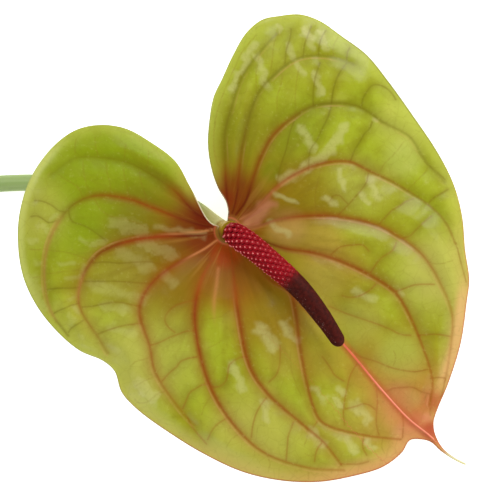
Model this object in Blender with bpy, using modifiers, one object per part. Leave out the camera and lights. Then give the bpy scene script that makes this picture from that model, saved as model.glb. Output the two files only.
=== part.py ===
"""A cut anthurium stem lying on a table, its flower face up.

Three solids: the heart-shaped spathe, the spadix, and the peduncle that carries both and trails off to
the left. The flower is laid out facing +Z, in millimetres from the seat, where the spathe clasps the top
of the peduncle: x runs to the right, y up and z towards whoever looks into the flower. The face is then
tilted so that its right margin comes down to the table and its left lobe stands clear of it.
"""

import math

import bmesh
import bpy
import numpy as np
from mathutils import Euler, Vector
from mathutils.geometry import delaunay_2d_cdt

MM = 0.001

# Lie of the flower: the face is turned about Y, then rolled about X until two low points touch the table.
FACE_TILT = math.radians(18)
FACE_ROLL = math.radians(0.57)

# Outline of the spathe seen face on, clockwise from the right side of the notch between the lobes.
RIGHT_LOBE = [
    (0.1, 6.3), (-0.7, 9.7), (-3.0, 13.7), (-5.3, 20.0), (-6.6, 28.0), (-6.2, 36.0), (-4.7, 44.5),
    (-2.0, 50.3), (1.5, 58.0), (6.0, 65.7), (11.3, 70.2), (17.0, 71.5), (24.0, 72.0), (30.5, 69.8),
    (37.7, 64.7), (46.0, 58.4), (52.7, 50.3), (61.0, 39.0), (69.7, 26.3), (75.0, 15.8), (77.8, 5.0),
    (78.7, -6.3), (80.0, -16.3), (79.2, -23.5), (77.3, -37.3), (73.3, -50.7), (69.8, -59.0),
]
TIP = [
    (68.4, -63.5), (68.9, -68.0), (71.3, -72.2), (75.5, -75.3), (79.2, -77.0), (78.9, -78.0),
    (74.6, -76.6), (70.6, -73.8), (67.3, -70.6), (64.5, -69.3),
]
LEFT_SIDE = [
    (60.5, -69.6), (57.8, -73.6), (51.5, -78.3), (41.7, -81.3), (30.0, -83.2), (17.0, -82.7),
    (4.5, -79.9), (-8.0, -74.2), (-18.7, -67.7), (-30.0, -59.4), (-35.3, -53.5), (-37.6, -46.6),
    (-41.5, -43.1), (-49.3, -39.7), (-57.0, -33.2), (-63.6, -25.0), (-68.2, -15.0), (-69.8, -3.0),
    (-68.8, 7.5), (-65.0, 18.3), (-58.0, 28.0), (-50.5, 33.5), (-42.5, 35.2), (-34.0, 34.0),
    (-26.0, 29.7), (-17.3, 23.0), (-13.0, 15.5), (-10.3, 10.5), (-7.7, 5.2),
]
NOTCH_RADIUS = 4.3
NOTCH_OPEN_FROM = math.radians(92)  # the notch round the stipe is open between these bearings
NOTCH_OPEN_TO = math.radians(150)

# Main veins, from the seat out, in the order they leave it. Each lies sunk between pillows of the blade.
MIDRIB = [
    (8.5, -7.6), (17.0, -15.6), (27.0, -26.0), (38.7, -38.0), (51.3, -53.0), (60.0, -62.4), (66.5, -67.6),
]
RIGHT_VEINS = [
    [(-0.6, 14.7), (-0.9, 23.3), (-1.0, 32.3), (1.3, 41.3), (4.3, 50.3), (10.3, 59.0), (16.3, 65.5)],
    [
        (2.9, 11.7), (3.6, 18.7), (5.0, 29.3), (9.7, 45.0), (14.3, 50.7), (23.0, 57.2), (32.3, 58.0),
        (42.3, 55.0),
    ],
    [
        (5.8, 9.7), (8.0, 16.3), (11.0, 24.7), (15.0, 31.7), (21.7, 37.7), (28.0, 41.3), (34.7, 42.3),
        (43.0, 41.3), (52.0, 35.7), (60.3, 31.3), (65.7, 23.3), (72.5, 15.7),
    ],
    [
        (8.6, 6.6), (16.3, 14.7), (22.7, 19.0), (31.0, 22.3), (40.0, 23.0), (46.7, 20.0), (55.7, 15.7),
        (67.3, 8.0), (72.3, 2.7), (75.7, -5.0),
    ],
    [
        (8.7, 1.3), (16.3, 3.7), (26.0, 5.0), (36.0, 4.8), (49.0, 2.0), (56.7, -2.0), (64.7, -8.3),
        (71.0, -18.7), (74.3, -27.7), (74.0, -38.3), (72.3, -49.7),
    ],
    [
        (9.4, -2.4), (18.5, -5.7), (28.7, -7.3), (41.3, -11.7), (54.7, -19.7), (59.0, -25.7),
        (63.7, -36.0), (68.0, -50.0), (67.0, -58.5),
    ],
]
LEFT_VEINS = [
    [
        (14.5, -16.5), (20.5, -20.0), (22.3, -26.0), (24.3, -40.7), (28.7, -59.3), (31.7, -63.7),
        (45.3, -67.7), (57.3, -69.3),
    ],
    [
        (1.2, -8.5), (2.0, -15.7), (3.3, -26.3), (7.3, -45.0), (13.3, -54.0), (24.3, -63.7), (31.7, -70.0),
        (38.0, -78.0),
    ],
    [
        (-4.7, -8.7), (-8.7, -16.0), (-11.0, -28.0), (-7.0, -48.7), (0.0, -61.7), (11.3, -73.0),
        (27.0, -78.5), (38.5, -79.3),
    ],
    [
        (-7.6, -5.8), (-20.3, -13.0), (-26.7, -19.3), (-29.3, -26.3), (-26.0, -38.0), (-24.0, -47.0),
        (-15.0, -60.3), (-11.0, -64.5),
    ],
    [
        (-9.0, -1.5), (-20.3, -1.7), (-31.0, -3.0), (-38.7, -5.3), (-44.0, -8.7), (-48.5, -16.0),
        (-49.3, -24.7), (-43.0, -35.3), (-39.5, -41.0),
    ],
    [
        (-9.0, 2.0), (-17.7, 4.8), (-25.7, 8.0), (-33.3, 10.7), (-44.0, 11.6), (-52.0, 8.0),
        (-59.0, -2.7), (-61.0, -14.0), (-59.0, -26.3), (-52.7, -35.3),
    ],
    [(-10.7, 6.0), (-17.7, 13.3), (-26.0, 19.0), (-33.3, 22.7), (-42.0, 24.3), (-50.7, 24.0), (-58.5, 18.5)],
]

# Form of the blade.
BLADE_THICKNESS = 0.7
RIM_SPACING = 2.5  # between points along the outline and the veins
CELL = 2.85  # between points inside the pillows
VEIN_CLEARANCE = 1.1  # from the outline to the nearest point of a vein
CELL_CLEARANCE = 1.55  # from the outline or a vein to the nearest point inside a pillow
FUNNEL_DEPTH, FUNNEL_RADIUS = 5.0, 20.0
WAVE_HEIGHT, WAVE_COUNT, WAVE_TURN, WAVE_RADIUS = 2.3, 6, math.radians(72), 80.0
LOBE_RISE, LOBE_BEARING, LOBE_SPREAD = 3.0, math.radians(120), math.radians(40)
LOBE_FROM, LOBE_TO = 6.0, 40.0  # distance from the seat over which the lobes rise
MARGIN_DROOP, MARGIN_WIDTH = 1.6, 9.0
DROOP_FROM, DROOP_TO = 15.0, 45.0  # distance from the seat over which the margin starts to droop
TIP_BEARING, TIP_CURL, TIP_FROM, TIP_TO = math.radians(-45), 4.5, 84.0, 112.0  # the thread curls up
PILLOW_HEIGHT, PILLOW_REACH, PILLOW_MARGIN = 1.5, 3.2, 8.0
PILLOW_START, PILLOW_FULL = 7.0, 24.0  # distance from the seat where the quilting begins and is full

# Spadix: axis from the seat to the tip, rising clear of the blade, and its half width along it.
SPADIX_AXIS = [
    (1.3, -0.5, 2.6), (2.9, -1.5, 5.4), (6.8, -4.2, 8.2), (15.0, -11.0, 11.2), (24.0, -19.3, 13.4),
    (31.5, -28.8, 14.6), (38.1, -38.8, 14.6),
]
SPADIX_RADII = [
    (0.0, 3.3), (0.05, 3.85), (0.12, 4.0), (0.3, 3.8), (0.55, 3.55), (0.78, 3.15), (0.93, 2.75), (1.0, 2.6),
]
FLORETS_AROUND = 14
FLORET_PITCH = 1.9  # between one ring of florets and the next
FLORET_HEIGHT, FLORET_HEIGHT_DARK = 0.55, 0.16
DARK_FROM, DARK_BLEND = 0.5, 0.05  # share of the length where the pink half turns to the smooth dark one
LATTICE_TWIST = math.radians(55)
TIP_CAP = 2.9
TIP_RING_ANGLES = np.radians((18, 40, 62, 80))

# Peduncle: the stipe and the neck behind the flower in face directions, then the bend down to the table
# in table directions. On the table only x and y are given: its own half width is its height there.
STIPE_ROUTE = [(1.0, -0.4, 1.95), (0.0, 0.0, -0.5), (-1.6, 0.8, -4.2), (-5.4, 3.4, -9.6), (-11.3, 7.8, -15.0)]
BEND_ROUTE = [(-28.5, 12.6, -15.9), (-44.0, 15.6, -18.6)]
TABLE_ROUTE = [
    (-62.0, 17.0), (-90.0, 17.0), (-125.0, 13.5), (-170.0, 8.0), (-225.0, 2.5), (-285.0, 0.0), (-338.0, 1.0),
]
STIPE_RADIUS, NECK_RADIUS, CUT_RADIUS = 3.7, 2.7, 3.4
STIPE_FULL, STIPE_LENGTH = 1.6, 6.5  # the stipe keeps its width, then narrows into the neck
NECK_SPACING, NECK_LENGTH = 2.0, 30.0
STALK_SPACING = 8.0
CUT_SLANT = math.radians(40)
CUT_BACK = 1.2  # how far from the end the slanted cut crosses the middle, in shares of its own rise

RUN_STEPS = 16  # short runs between two hand-placed points of a smooth line
FINE_SPACING = 0.5

GREEN = (0.36, 0.42, 0.05, 1)
CRIMSON = (0.27, 0.01, 0.03, 1)
STALK_GREEN = (0.30, 0.40, 0.13, 1)


def lengths_along(line):
    return np.concatenate(([0.0], np.cumsum(np.linalg.norm(np.diff(line, axis=0), axis=1))))


def places_along(line, stations):
    along = lengths_along(line)
    return np.column_stack([np.interp(stations, along, line[:, k]) for k in range(line.shape[1])])


def smooth_line(points, spacing):
    """Points about `spacing` apart on one smooth curve through hand-placed points."""
    through = np.array(points, float)
    step = np.sqrt(np.linalg.norm(np.diff(through, axis=0), axis=1))
    at = np.concatenate(([0.0], np.cumsum(step)))
    slope = np.gradient(through, at, axis=0)
    share = np.linspace(0, 1, RUN_STEPS, endpoint=False)[:, None]
    start = 2 * share**3 - 3 * share**2 + 1
    leave = share**3 - 2 * share**2 + share
    arrive = share**3 - share**2
    fine = [
        start * through[i]
        + (1 - start) * through[i + 1]
        + (leave * slope[i] + arrive * slope[i + 1]) * (at[i + 1] - at[i])
        for i in range(len(through) - 1)
    ]
    fine = np.vstack(fine + [through[-1:]])
    length = lengths_along(fine)[-1]
    return places_along(fine, np.linspace(0, length, max(2, round(length / spacing) + 1)))


def distance_to_line(points, line):
    """Distance from each point to the nearest place on a line of short straight runs."""
    nearest = np.full(len(points), np.inf)
    for a, b in zip(line[:-1], line[1:]):
        run = b - a
        share = np.clip((points - a) @ run / (run @ run), 0, 1)
        nearest = np.minimum(nearest, np.linalg.norm(points - (a + share[:, None] * run), axis=1))
    return nearest


def inside(points, outline):
    """True for each point that the closed outline surrounds."""
    found = np.zeros(len(points), bool)
    for a, b in zip(outline, np.roll(outline, -1, axis=0)):
        crosses = (a[1] > points[:, 1]) != (b[1] > points[:, 1])
        rise = np.where(crosses, b[1] - a[1], 1.0)
        found ^= crosses & (points[:, 0] < a[0] + (points[:, 1] - a[1]) * (b[0] - a[0]) / rise)
    return found


def smooth_step(value, low, high):
    share = np.clip((value - low) / (high - low), 0, 1)
    return share * share * (3 - 2 * share)


def spathe_outline():
    """The closed outline: both sides and the tip thread, then the round notch that clasps the stipe."""
    margin = smooth_line(RIGHT_LOBE + TIP + LEFT_SIDE, RIM_SPACING)
    bearings = np.linspace(NOTCH_OPEN_TO, NOTCH_OPEN_FROM + 2 * math.pi, 20)
    notch = NOTCH_RADIUS * np.column_stack((np.cos(bearings), np.sin(bearings)))
    return np.vstack((margin, notch))


def blade_height(points, rim, veins):
    """Height of the blade's upper face above the seat, at points of its plan."""
    reach = np.linalg.norm(points, axis=1)
    bearing = np.arctan2(points[:, 1], points[:, 0])
    funnel = FUNNEL_DEPTH * (1 - np.exp(-((reach / FUNNEL_RADIUS) ** 2)))
    wave = WAVE_HEIGHT * np.cos(WAVE_COUNT * bearing + WAVE_TURN) * np.minimum(reach / WAVE_RADIUS, 1) ** 2
    off_bearing = np.abs((bearing - LOBE_BEARING + math.pi) % (2 * math.pi) - math.pi)
    rise = LOBE_RISE * np.exp(-((off_bearing / LOBE_SPREAD) ** 2)) * smooth_step(reach, LOBE_FROM, LOBE_TO)
    to_rim = distance_to_line(points, rim)
    droop = MARGIN_DROOP * smooth_step(MARGIN_WIDTH - to_rim, 0, MARGIN_WIDTH)
    droop *= smooth_step(reach, DROOP_FROM, DROOP_TO)
    towards_tip = points @ (math.cos(TIP_BEARING), math.sin(TIP_BEARING))
    curl = TIP_CURL * smooth_step(towards_tip, TIP_FROM, TIP_TO)
    to_vein = np.min([distance_to_line(points, vein) for vein in veins], axis=0)
    pillow = PILLOW_HEIGHT * (1 - np.exp(-to_vein / PILLOW_REACH)) * smooth_step(to_rim, -1, PILLOW_MARGIN)
    pillow *= smooth_step(reach, PILLOW_START, PILLOW_FULL)
    return funnel + wave + rise + curl - droop + pillow


def blade_plan(outline, rim, veins):
    """Triangles of the blade laid flat, with an edge along every vein."""
    chains = [vein[(distance_to_line(vein, rim) > VEIN_CLEARANCE) & inside(vein, outline)] for vein in veins]
    low, high = outline.min(axis=0), outline.max(axis=0)
    rows = np.arange(low[1], high[1], CELL * math.sqrt(3) / 2)
    columns = np.arange(low[0], high[0], CELL)
    grid = np.array([(x + CELL / 2 * (k % 2), y) for k, y in enumerate(rows) for x in columns])
    grid = grid[inside(grid, outline)]
    clear = np.min([distance_to_line(grid, line) for line in [rim] + chains], axis=0)
    points = np.vstack([outline] + chains + [grid[clear > CELL_CLEARANCE]])
    edges = [(i, (i + 1) % len(outline)) for i in range(len(outline))]
    first = len(outline)
    for chain in chains:
        edges += [(first + i, first + i + 1) for i in range(len(chain) - 1)]
        first += len(chain)
    flat, _, faces, _, _, _ = delaunay_2d_cdt([Vector(p) for p in points], edges, [], 1, 1e-4)
    flat = np.array([tuple(p) for p in flat])
    centres = np.array([flat[list(face)].mean(axis=0) for face in faces])
    return flat, [face for face, kept in zip(faces, inside(centres, outline)) if kept]


def make_material(name, colour, roughness):
    material = bpy.data.materials.new(name)
    material.use_nodes = True
    shader = material.node_tree.nodes["Principled BSDF"]
    shader.inputs["Base Color"].default_value = colour
    shader.inputs["Roughness"].default_value = roughness
    shader.inputs["Metallic"].default_value = 0.0
    return material


def add_object(name, mesh, material, collection, parent=None):
    obj = bpy.data.objects.new(name, mesh)
    mesh.materials.append(material)
    collection.objects.link(obj)
    obj.parent = parent
    return obj


def make_spathe(collection, seat):
    """One grown sheet: lobes, waves, sunken veins with pillows between, and the thread at the tip."""
    outline = spathe_outline()
    rim = np.vstack((outline, outline[:1]))
    veins = [smooth_line(line, RIM_SPACING) for line in [*RIGHT_VEINS, *LEFT_VEINS, MIDRIB]]
    flat, faces = blade_plan(outline, rim, veins)
    heights = blade_height(flat, rim, veins)
    mesh = bpy.data.meshes.new("spathe")
    mesh.from_pydata([(x * MM, y * MM, z * MM) for (x, y), z in zip(flat, heights)], [], faces)
    body = bmesh.new()
    body.from_mesh(mesh)
    bmesh.ops.recalc_face_normals(body, faces=body.faces)
    if sum(face.normal.z for face in body.faces) < 0:
        bmesh.ops.reverse_faces(body, faces=body.faces)
    body.to_mesh(mesh)
    body.free()
    mesh.shade_smooth()
    obj = add_object("spathe", mesh, make_material("spathe_green", GREEN, 0.35), collection, seat)
    wall = obj.modifiers.new("blade thickness", "SOLIDIFY")
    wall.thickness = BLADE_THICKNESS * MM
    wall.offset = -1
    return obj


def square_directions(line):
    """At each point of a line, two directions square to it that turn with it but do not twist."""
    ahead = np.gradient(line, axis=0)
    ahead /= np.linalg.norm(ahead, axis=1)[:, None]
    side = np.cross(ahead[0], (0.0, 0.0, 1.0))
    sides = []
    for direction in ahead:
        side = side - direction * (side @ direction)
        side /= np.linalg.norm(side)
        sides.append(side)
    sides = np.array(sides)
    return sides, np.cross(sides, ahead)


def make_spadix(collection, seat):
    """A tapering bent spike, raised in a spiral lattice of florets and rounded off at the tip."""
    axis = smooth_line(SPADIX_AXIS, FINE_SPACING)
    length = lengths_along(axis)[-1]
    body_rings = np.arange(0, length - TIP_CAP, FLORET_PITCH)
    stations = np.concatenate((body_rings, length - TIP_CAP * (1 - np.sin(TIP_RING_ANGLES))))
    centres = places_along(axis, stations)
    sides, ups = square_directions(centres)
    shares = stations / length
    cap = np.clip((stations - (length - TIP_CAP)) / TIP_CAP, 0, 1)
    radii = np.interp(shares, *zip(*SPADIX_RADII)) * np.sqrt(1 - cap**2)
    dark = smooth_step(shares, DARK_FROM - DARK_BLEND, DARK_FROM + DARK_BLEND)
    relief = (FLORET_HEIGHT * (1 - dark) + FLORET_HEIGHT_DARK * dark) * (cap == 0)

    columns = 2 * FLORETS_AROUND
    body = bmesh.new()
    rings = []
    for i, centre in enumerate(centres):
        ring = []
        for j in range(columns):
            crown = (i + j) % 2 == 0
            turn = 2 * math.pi * j / columns + LATTICE_TWIST * shares[i]
            radius = radii[i] + relief[i] * (0.5 if crown else -0.5)
            place = centre + radius * (math.cos(turn) * sides[i] + math.sin(turn) * ups[i])
            ring.append(body.verts.new(Vector(place) * MM))
        rings.append(ring)
    tip = body.verts.new(Vector(axis[-1]) * MM)
    for i in range(len(rings) - 1):
        for j in range(columns):
            k = (j + 1) % columns
            corners = [rings[i][j], rings[i][k], rings[i + 1][k], rings[i + 1][j]]
            if (i + j) % 2:
                corners = corners[1:] + corners[:1]
            # The edge across each cell joins its two hollows, so that every floret is a small pyramid.
            body.faces.new((corners[0], corners[1], corners[3]))
            body.faces.new((corners[1], corners[2], corners[3]))
    for j in range(columns):
        body.faces.new((rings[-1][j], rings[-1][(j + 1) % columns], tip))
    body.faces.new(rings[0][::-1])
    bmesh.ops.recalc_face_normals(body, faces=body.faces)
    mesh = bpy.data.meshes.new("spadix")
    body.to_mesh(mesh)
    body.free()
    return add_object("spadix", mesh, make_material("spadix_crimson", CRIMSON, 0.4), collection, seat)


def peduncle_route(turned, seat_height):
    """Centre line and half width of the stalk, in millimetres from the seat in table directions."""
    rough = [turned @ Vector(p) for p in STIPE_ROUTE] + BEND_ROUTE
    for x, y in TABLE_ROUTE:
        radius = NECK_RADIUS + (CUT_RADIUS - NECK_RADIUS) * x / TABLE_ROUTE[-1][0]
        rough.append((x, y, radius - seat_height))
    line = smooth_line(rough, FINE_SPACING)
    length = lengths_along(line)[-1]
    neck = np.arange(0, NECK_LENGTH, NECK_SPACING)
    stalk = np.linspace(NECK_LENGTH, length, round((length - NECK_LENGTH) / STALK_SPACING))
    stations = np.concatenate((neck, stalk))
    points = places_along(line, stations)
    widths = NECK_RADIUS + (CUT_RADIUS - NECK_RADIUS) * stations / length
    widths += (STIPE_RADIUS - NECK_RADIUS) * (1 - smooth_step(stations, STIPE_FULL, STIPE_LENGTH))
    points[:, 2] = np.maximum(points[:, 2], widths - seat_height)
    return points, widths


def make_peduncle(collection, turned, seat_height):
    """The stalk, swollen at the top into the stipe and cut off aslant at the far end."""
    points, widths = peduncle_route(turned, seat_height)
    curve = bpy.data.curves.new("peduncle", "CURVE")
    curve.dimensions = "3D"
    curve.bevel_depth = MM
    curve.bevel_resolution = 3
    curve.use_fill_caps = True
    spline = curve.splines.new("POLY")
    spline.points.add(len(points) - 1)
    for target, place, width in zip(spline.points, points, widths):
        target.co = (*(Vector(place) * MM), 1)
        target.radius = width
    tube = bpy.data.objects.new("peduncle_route", curve)
    collection.objects.link(tube)
    bpy.context.view_layer.update()
    mesh = bpy.data.meshes.new_from_object(tube.evaluated_get(bpy.context.evaluated_depsgraph_get()))
    bpy.data.objects.remove(tube)
    body = bmesh.new()
    body.from_mesh(mesh)
    bmesh.ops.remove_doubles(body, verts=body.verts, dist=0.00001)
    back = Vector(points[-2] - points[-1]).normalized()
    slant = Euler((0, CUT_SLANT, 0)).to_matrix() @ back
    place = Vector(points[-1]) * MM + back * (CUT_BACK * CUT_RADIUS * MM * math.tan(CUT_SLANT))
    geometry = body.verts[:] + body.edges[:] + body.faces[:]
    cut = bmesh.ops.bisect_plane(body, geom=geometry, plane_co=place, plane_no=-slant, clear_outer=True)
    bmesh.ops.holes_fill(body, edges=[e for e in cut["geom_cut"] if isinstance(e, bmesh.types.BMEdge)])
    bmesh.ops.recalc_face_normals(body, faces=body.faces)
    body.to_mesh(mesh)
    body.free()
    mesh.name = "peduncle"
    mesh.shade_smooth()
    mesh.set_sharp_from_angle(angle=CUT_SLANT)
    return add_object("peduncle", mesh, make_material("peduncle_green", STALK_GREEN, 0.45), collection)


def corners_in_world(objects):
    graph = bpy.context.evaluated_depsgraph_get()
    found = []
    for obj in objects:
        evaluated = obj.evaluated_get(graph)
        found += [evaluated.matrix_world @ v.co for v in evaluated.to_mesh().vertices]
        evaluated.to_mesh_clear()
    return np.array([tuple(p) for p in found])


def main():
    for obj in list(bpy.data.objects):
        bpy.data.objects.remove(obj)
    collection = bpy.data.collections.new("cut_anthurium_stem")
    bpy.context.scene.collection.children.link(collection)

    seat = bpy.data.objects.new("seat", None)
    turned = Euler((FACE_ROLL, 0, 0)).to_matrix() @ Euler((0, FACE_TILT, 0)).to_matrix()
    seat.rotation_euler = turned.to_euler()
    collection.objects.link(seat)
    spathe = make_spathe(collection, seat)
    spadix = make_spadix(collection, seat)
    bpy.context.view_layer.update()
    seat_height = -corners_in_world([spathe])[:, 2].min()
    peduncle = make_peduncle(collection, turned, seat_height / MM)

    # The table stands at height 0, with the middle of the flower's own box over the origin.
    bpy.context.view_layer.update()
    reach = corners_in_world([spathe, spadix, peduncle])
    middle = (reach.min(axis=0) + reach.max(axis=0)) / 2
    seat.location = (-middle[0], -middle[1], seat_height)
    peduncle.location = seat.location
    bpy.context.view_layer.update()
    print("seat at", [round(x / MM, 2) for x in seat.location], "mm")


main()
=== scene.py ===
# %% [markdown]
# # A cut anthurium stem, its flower face up
#
# An anthurium flower is three things grown together: the spathe, one waxy heart-shaped leaf; the spadix, a
# fleshy spike packed with tiny florets; and the peduncle, the long stalk they are sold on. This lesson
# dresses the plain solids of the frame in Blender: it first sets out how the flower lies, then grows each
# of the three in fine detail, mixes their colours, and lights them like a studio shot on white.

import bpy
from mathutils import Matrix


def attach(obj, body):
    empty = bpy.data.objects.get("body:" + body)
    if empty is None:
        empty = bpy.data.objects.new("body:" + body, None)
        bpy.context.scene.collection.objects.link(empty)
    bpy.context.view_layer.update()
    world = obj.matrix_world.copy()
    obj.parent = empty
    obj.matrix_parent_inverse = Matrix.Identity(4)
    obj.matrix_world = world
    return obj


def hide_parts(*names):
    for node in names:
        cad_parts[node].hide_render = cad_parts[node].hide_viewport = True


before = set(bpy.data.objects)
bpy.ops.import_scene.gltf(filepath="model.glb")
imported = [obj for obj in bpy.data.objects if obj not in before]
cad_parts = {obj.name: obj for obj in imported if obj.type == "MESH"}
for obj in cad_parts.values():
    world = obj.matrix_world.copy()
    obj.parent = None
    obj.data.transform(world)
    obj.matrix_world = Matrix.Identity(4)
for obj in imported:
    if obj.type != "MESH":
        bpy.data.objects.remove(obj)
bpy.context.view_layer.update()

# %% Bring in what the lesson uses
import math

import bpy
import numpy as np
from mathutils import Euler, Vector
from mathutils.geometry import delaunay_2d_cdt
from mathutils.kdtree import KDTree
from mathutils.noise import noise

MM = 0.001

# %% [markdown]
# ## How the flower lies
#
# A flower is easiest to draw face on: x to the right, y up, z towards the eye, in millimetres from the
# seat, the point where the spathe clasps the stalk. On the table the face is tilted, so that its right
# margin rests and its left lobe stands clear. The spathe and the spadix are drawn face on, and one small
# function carries their points to the table. The stalk lies on the table and is mostly drawn there.

# %% From the face of the flower to the table
FACE_TILT = math.radians(18)
FACE_ROLL = math.radians(0.57)
SEAT = Vector((129.78, 5.59, 22.01))
FACE_TURN = Euler((FACE_ROLL, 0, 0)).to_matrix() @ Euler((0, FACE_TILT, 0)).to_matrix()
FACE_AXES = np.array(FACE_TURN)


def on_table(points):
    """Points drawn face on, in millimetres, carried to their place on the table, in metres."""
    return (np.asarray(points) @ FACE_AXES.T + np.array(SEAT)) * MM


print("seat (mm):", [round(v, 1) for v in SEAT], "tilt:", round(math.degrees(FACE_TILT), 1), "degrees")

# %% [markdown]
# ## Lines that grow
#
# Margins and veins are long easy curves, so each is set out as a few points, like pins on a
# drawing board, and a smooth line is drawn through them. More helpers measure how far a place is from
# such a line and whether the outline surrounds it: most of the flower's form and colour follows from
# those two questions. One could trace every vein as its own mesh, but a leaf is one sheet that dips along
# its veins, and distances give exactly that.

# %% Smooth lines through given points
RUN_STEPS = 16  # drawn from each given point to the next


def lengths_along(line):
    return np.concatenate(([0.0], np.cumsum(np.linalg.norm(np.diff(line, axis=0), axis=1))))


def places_along(line, stations):
    along = lengths_along(line)
    return np.column_stack([np.interp(stations, along, line[:, k]) for k in range(line.shape[1])])


def smooth_line(points, spacing):
    """Points about `spacing` apart on one smooth curve through given points."""
    through = np.array(points, float)
    step = np.sqrt(np.linalg.norm(np.diff(through, axis=0), axis=1))
    at = np.concatenate(([0.0], np.cumsum(step)))
    slope = np.gradient(through, at, axis=0)
    share = np.linspace(0, 1, RUN_STEPS, endpoint=False)[:, None]
    start = 2 * share**3 - 3 * share**2 + 1
    leave = share**3 - 2 * share**2 + share
    arrive = share**3 - share**2
    fine = [
        start * through[i]
        + (1 - start) * through[i + 1]
        + (leave * slope[i] + arrive * slope[i + 1]) * (at[i + 1] - at[i])
        for i in range(len(through) - 1)
    ]
    fine = np.vstack(fine + [through[-1:]])
    length = lengths_along(fine)[-1]
    return places_along(fine, np.linspace(0, length, max(2, round(length / spacing) + 1)))


def smooth_step(value, low, high):
    share = np.clip((value - low) / (high - low), 0, 1)
    return share * share * (3 - 2 * share)


# %% How far from a line, and on which side of the outline
FAR = 16.0  # nothing on the blade depends on a line that is farther away than this


def follow(points, line, far=FAR):
    """Signed distance to the nearest place on a line (left of it is positive), and how far along it lies.

    Points that are farther off than `far` count as that far away.
    """
    near = np.all((points > line.min(axis=0) - far) & (points < line.max(axis=0) + far), axis=1)
    close = points[near]
    best, side, along = np.full(len(close), far), np.full(len(close), far), np.zeros(len(close))
    passed = 0.0
    for a, b in zip(line[:-1], line[1:]):
        run = b - a
        length = math.hypot(*run)
        share = np.clip((close - a) @ run / length**2, 0, 1)
        gap = close - (a + share[:, None] * run)
        distance = np.hypot(gap[:, 0], gap[:, 1])
        nearer = distance < best
        best[nearer] = distance[nearer]
        left = run[0] * gap[:, 1] - run[1] * gap[:, 0]
        side[nearer] = np.where(left < 0, -distance, distance)[nearer]
        along[nearer] = passed + share[nearer] * length
        passed += length
    signed, station = np.full(len(points), far), np.zeros(len(points))
    signed[near], station[near] = side, along
    return signed, station


def distance_to_line(points, line, far=FAR):
    return np.abs(follow(points, line, far)[0])


def nearest_of(points, lines, far=FAR):
    return np.min([distance_to_line(points, line, far) for line in lines], axis=0)


def inside(points, outline):
    """True for each point that the closed outline surrounds."""
    found = np.zeros(len(points), bool)
    for a, b in zip(outline, np.roll(outline, -1, axis=0)):
        crosses = (a[1] > points[:, 1]) != (b[1] > points[:, 1])
        rise = np.where(crosses, b[1] - a[1], 1.0)
        found ^= crosses & (points[:, 0] < a[0] + (points[:, 1] - a[1]) * (b[0] - a[0]) / rise)
    return found


# %% [markdown]
# ## The outline and the veins of the spathe
#
# The spathe is a lopsided heart: the right lobe stands tall, the left one is round and low, and the tip
# is drawn out into a thread that turns right. Thirteen main veins leave the seat and bend round to follow
# the margin, a raised midrib runs to the tip, and finer veins cross from one to the next like rungs.

# %% The margin, the midrib and the main veins
RIGHT_LOBE = [
    (0.1, 6.3), (-0.7, 9.7), (-3.0, 13.7), (-5.3, 20.0), (-6.6, 28.0), (-6.2, 36.0), (-4.7, 44.5),
    (-2.0, 50.3), (1.5, 58.0), (6.0, 65.7), (11.3, 70.2), (17.0, 71.5), (24.0, 72.0), (30.5, 69.8),
    (37.7, 64.7), (46.0, 58.4), (52.7, 50.3), (61.0, 39.0), (69.7, 26.3), (75.0, 15.8), (77.8, 5.0),
    (78.7, -6.3), (80.0, -16.3), (79.2, -23.5), (77.3, -37.3), (73.3, -50.7), (69.8, -59.0),
]
TIP = [
    (68.4, -63.5), (68.9, -67.6), (71.2, -71.9), (75.3, -75.2), (79.1, -77.3), (78.95, -77.6),
    (75.0, -75.9), (70.7, -73.1), (67.5, -70.2), (64.5, -69.3),
]
LEFT_SIDE = [
    (60.5, -69.6), (57.8, -73.6), (51.5, -78.3), (41.7, -81.3), (30.0, -83.2), (17.0, -82.7),
    (4.5, -79.9), (-8.0, -74.2), (-18.7, -67.7), (-30.0, -59.4), (-35.3, -53.5), (-37.6, -46.6),
    (-41.5, -43.1), (-49.3, -39.7), (-57.0, -33.2), (-63.6, -25.0), (-68.2, -15.0), (-69.8, -3.0),
    (-68.8, 7.5), (-65.0, 18.3), (-58.0, 28.0), (-50.5, 33.5), (-42.5, 35.2), (-34.0, 34.0),
    (-26.0, 29.7), (-17.3, 23.0), (-13.0, 15.5), (-10.3, 10.5), (-8.0, 5.9), (-6.3, 3.4), (-4.7, 2.2),
]
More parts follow.
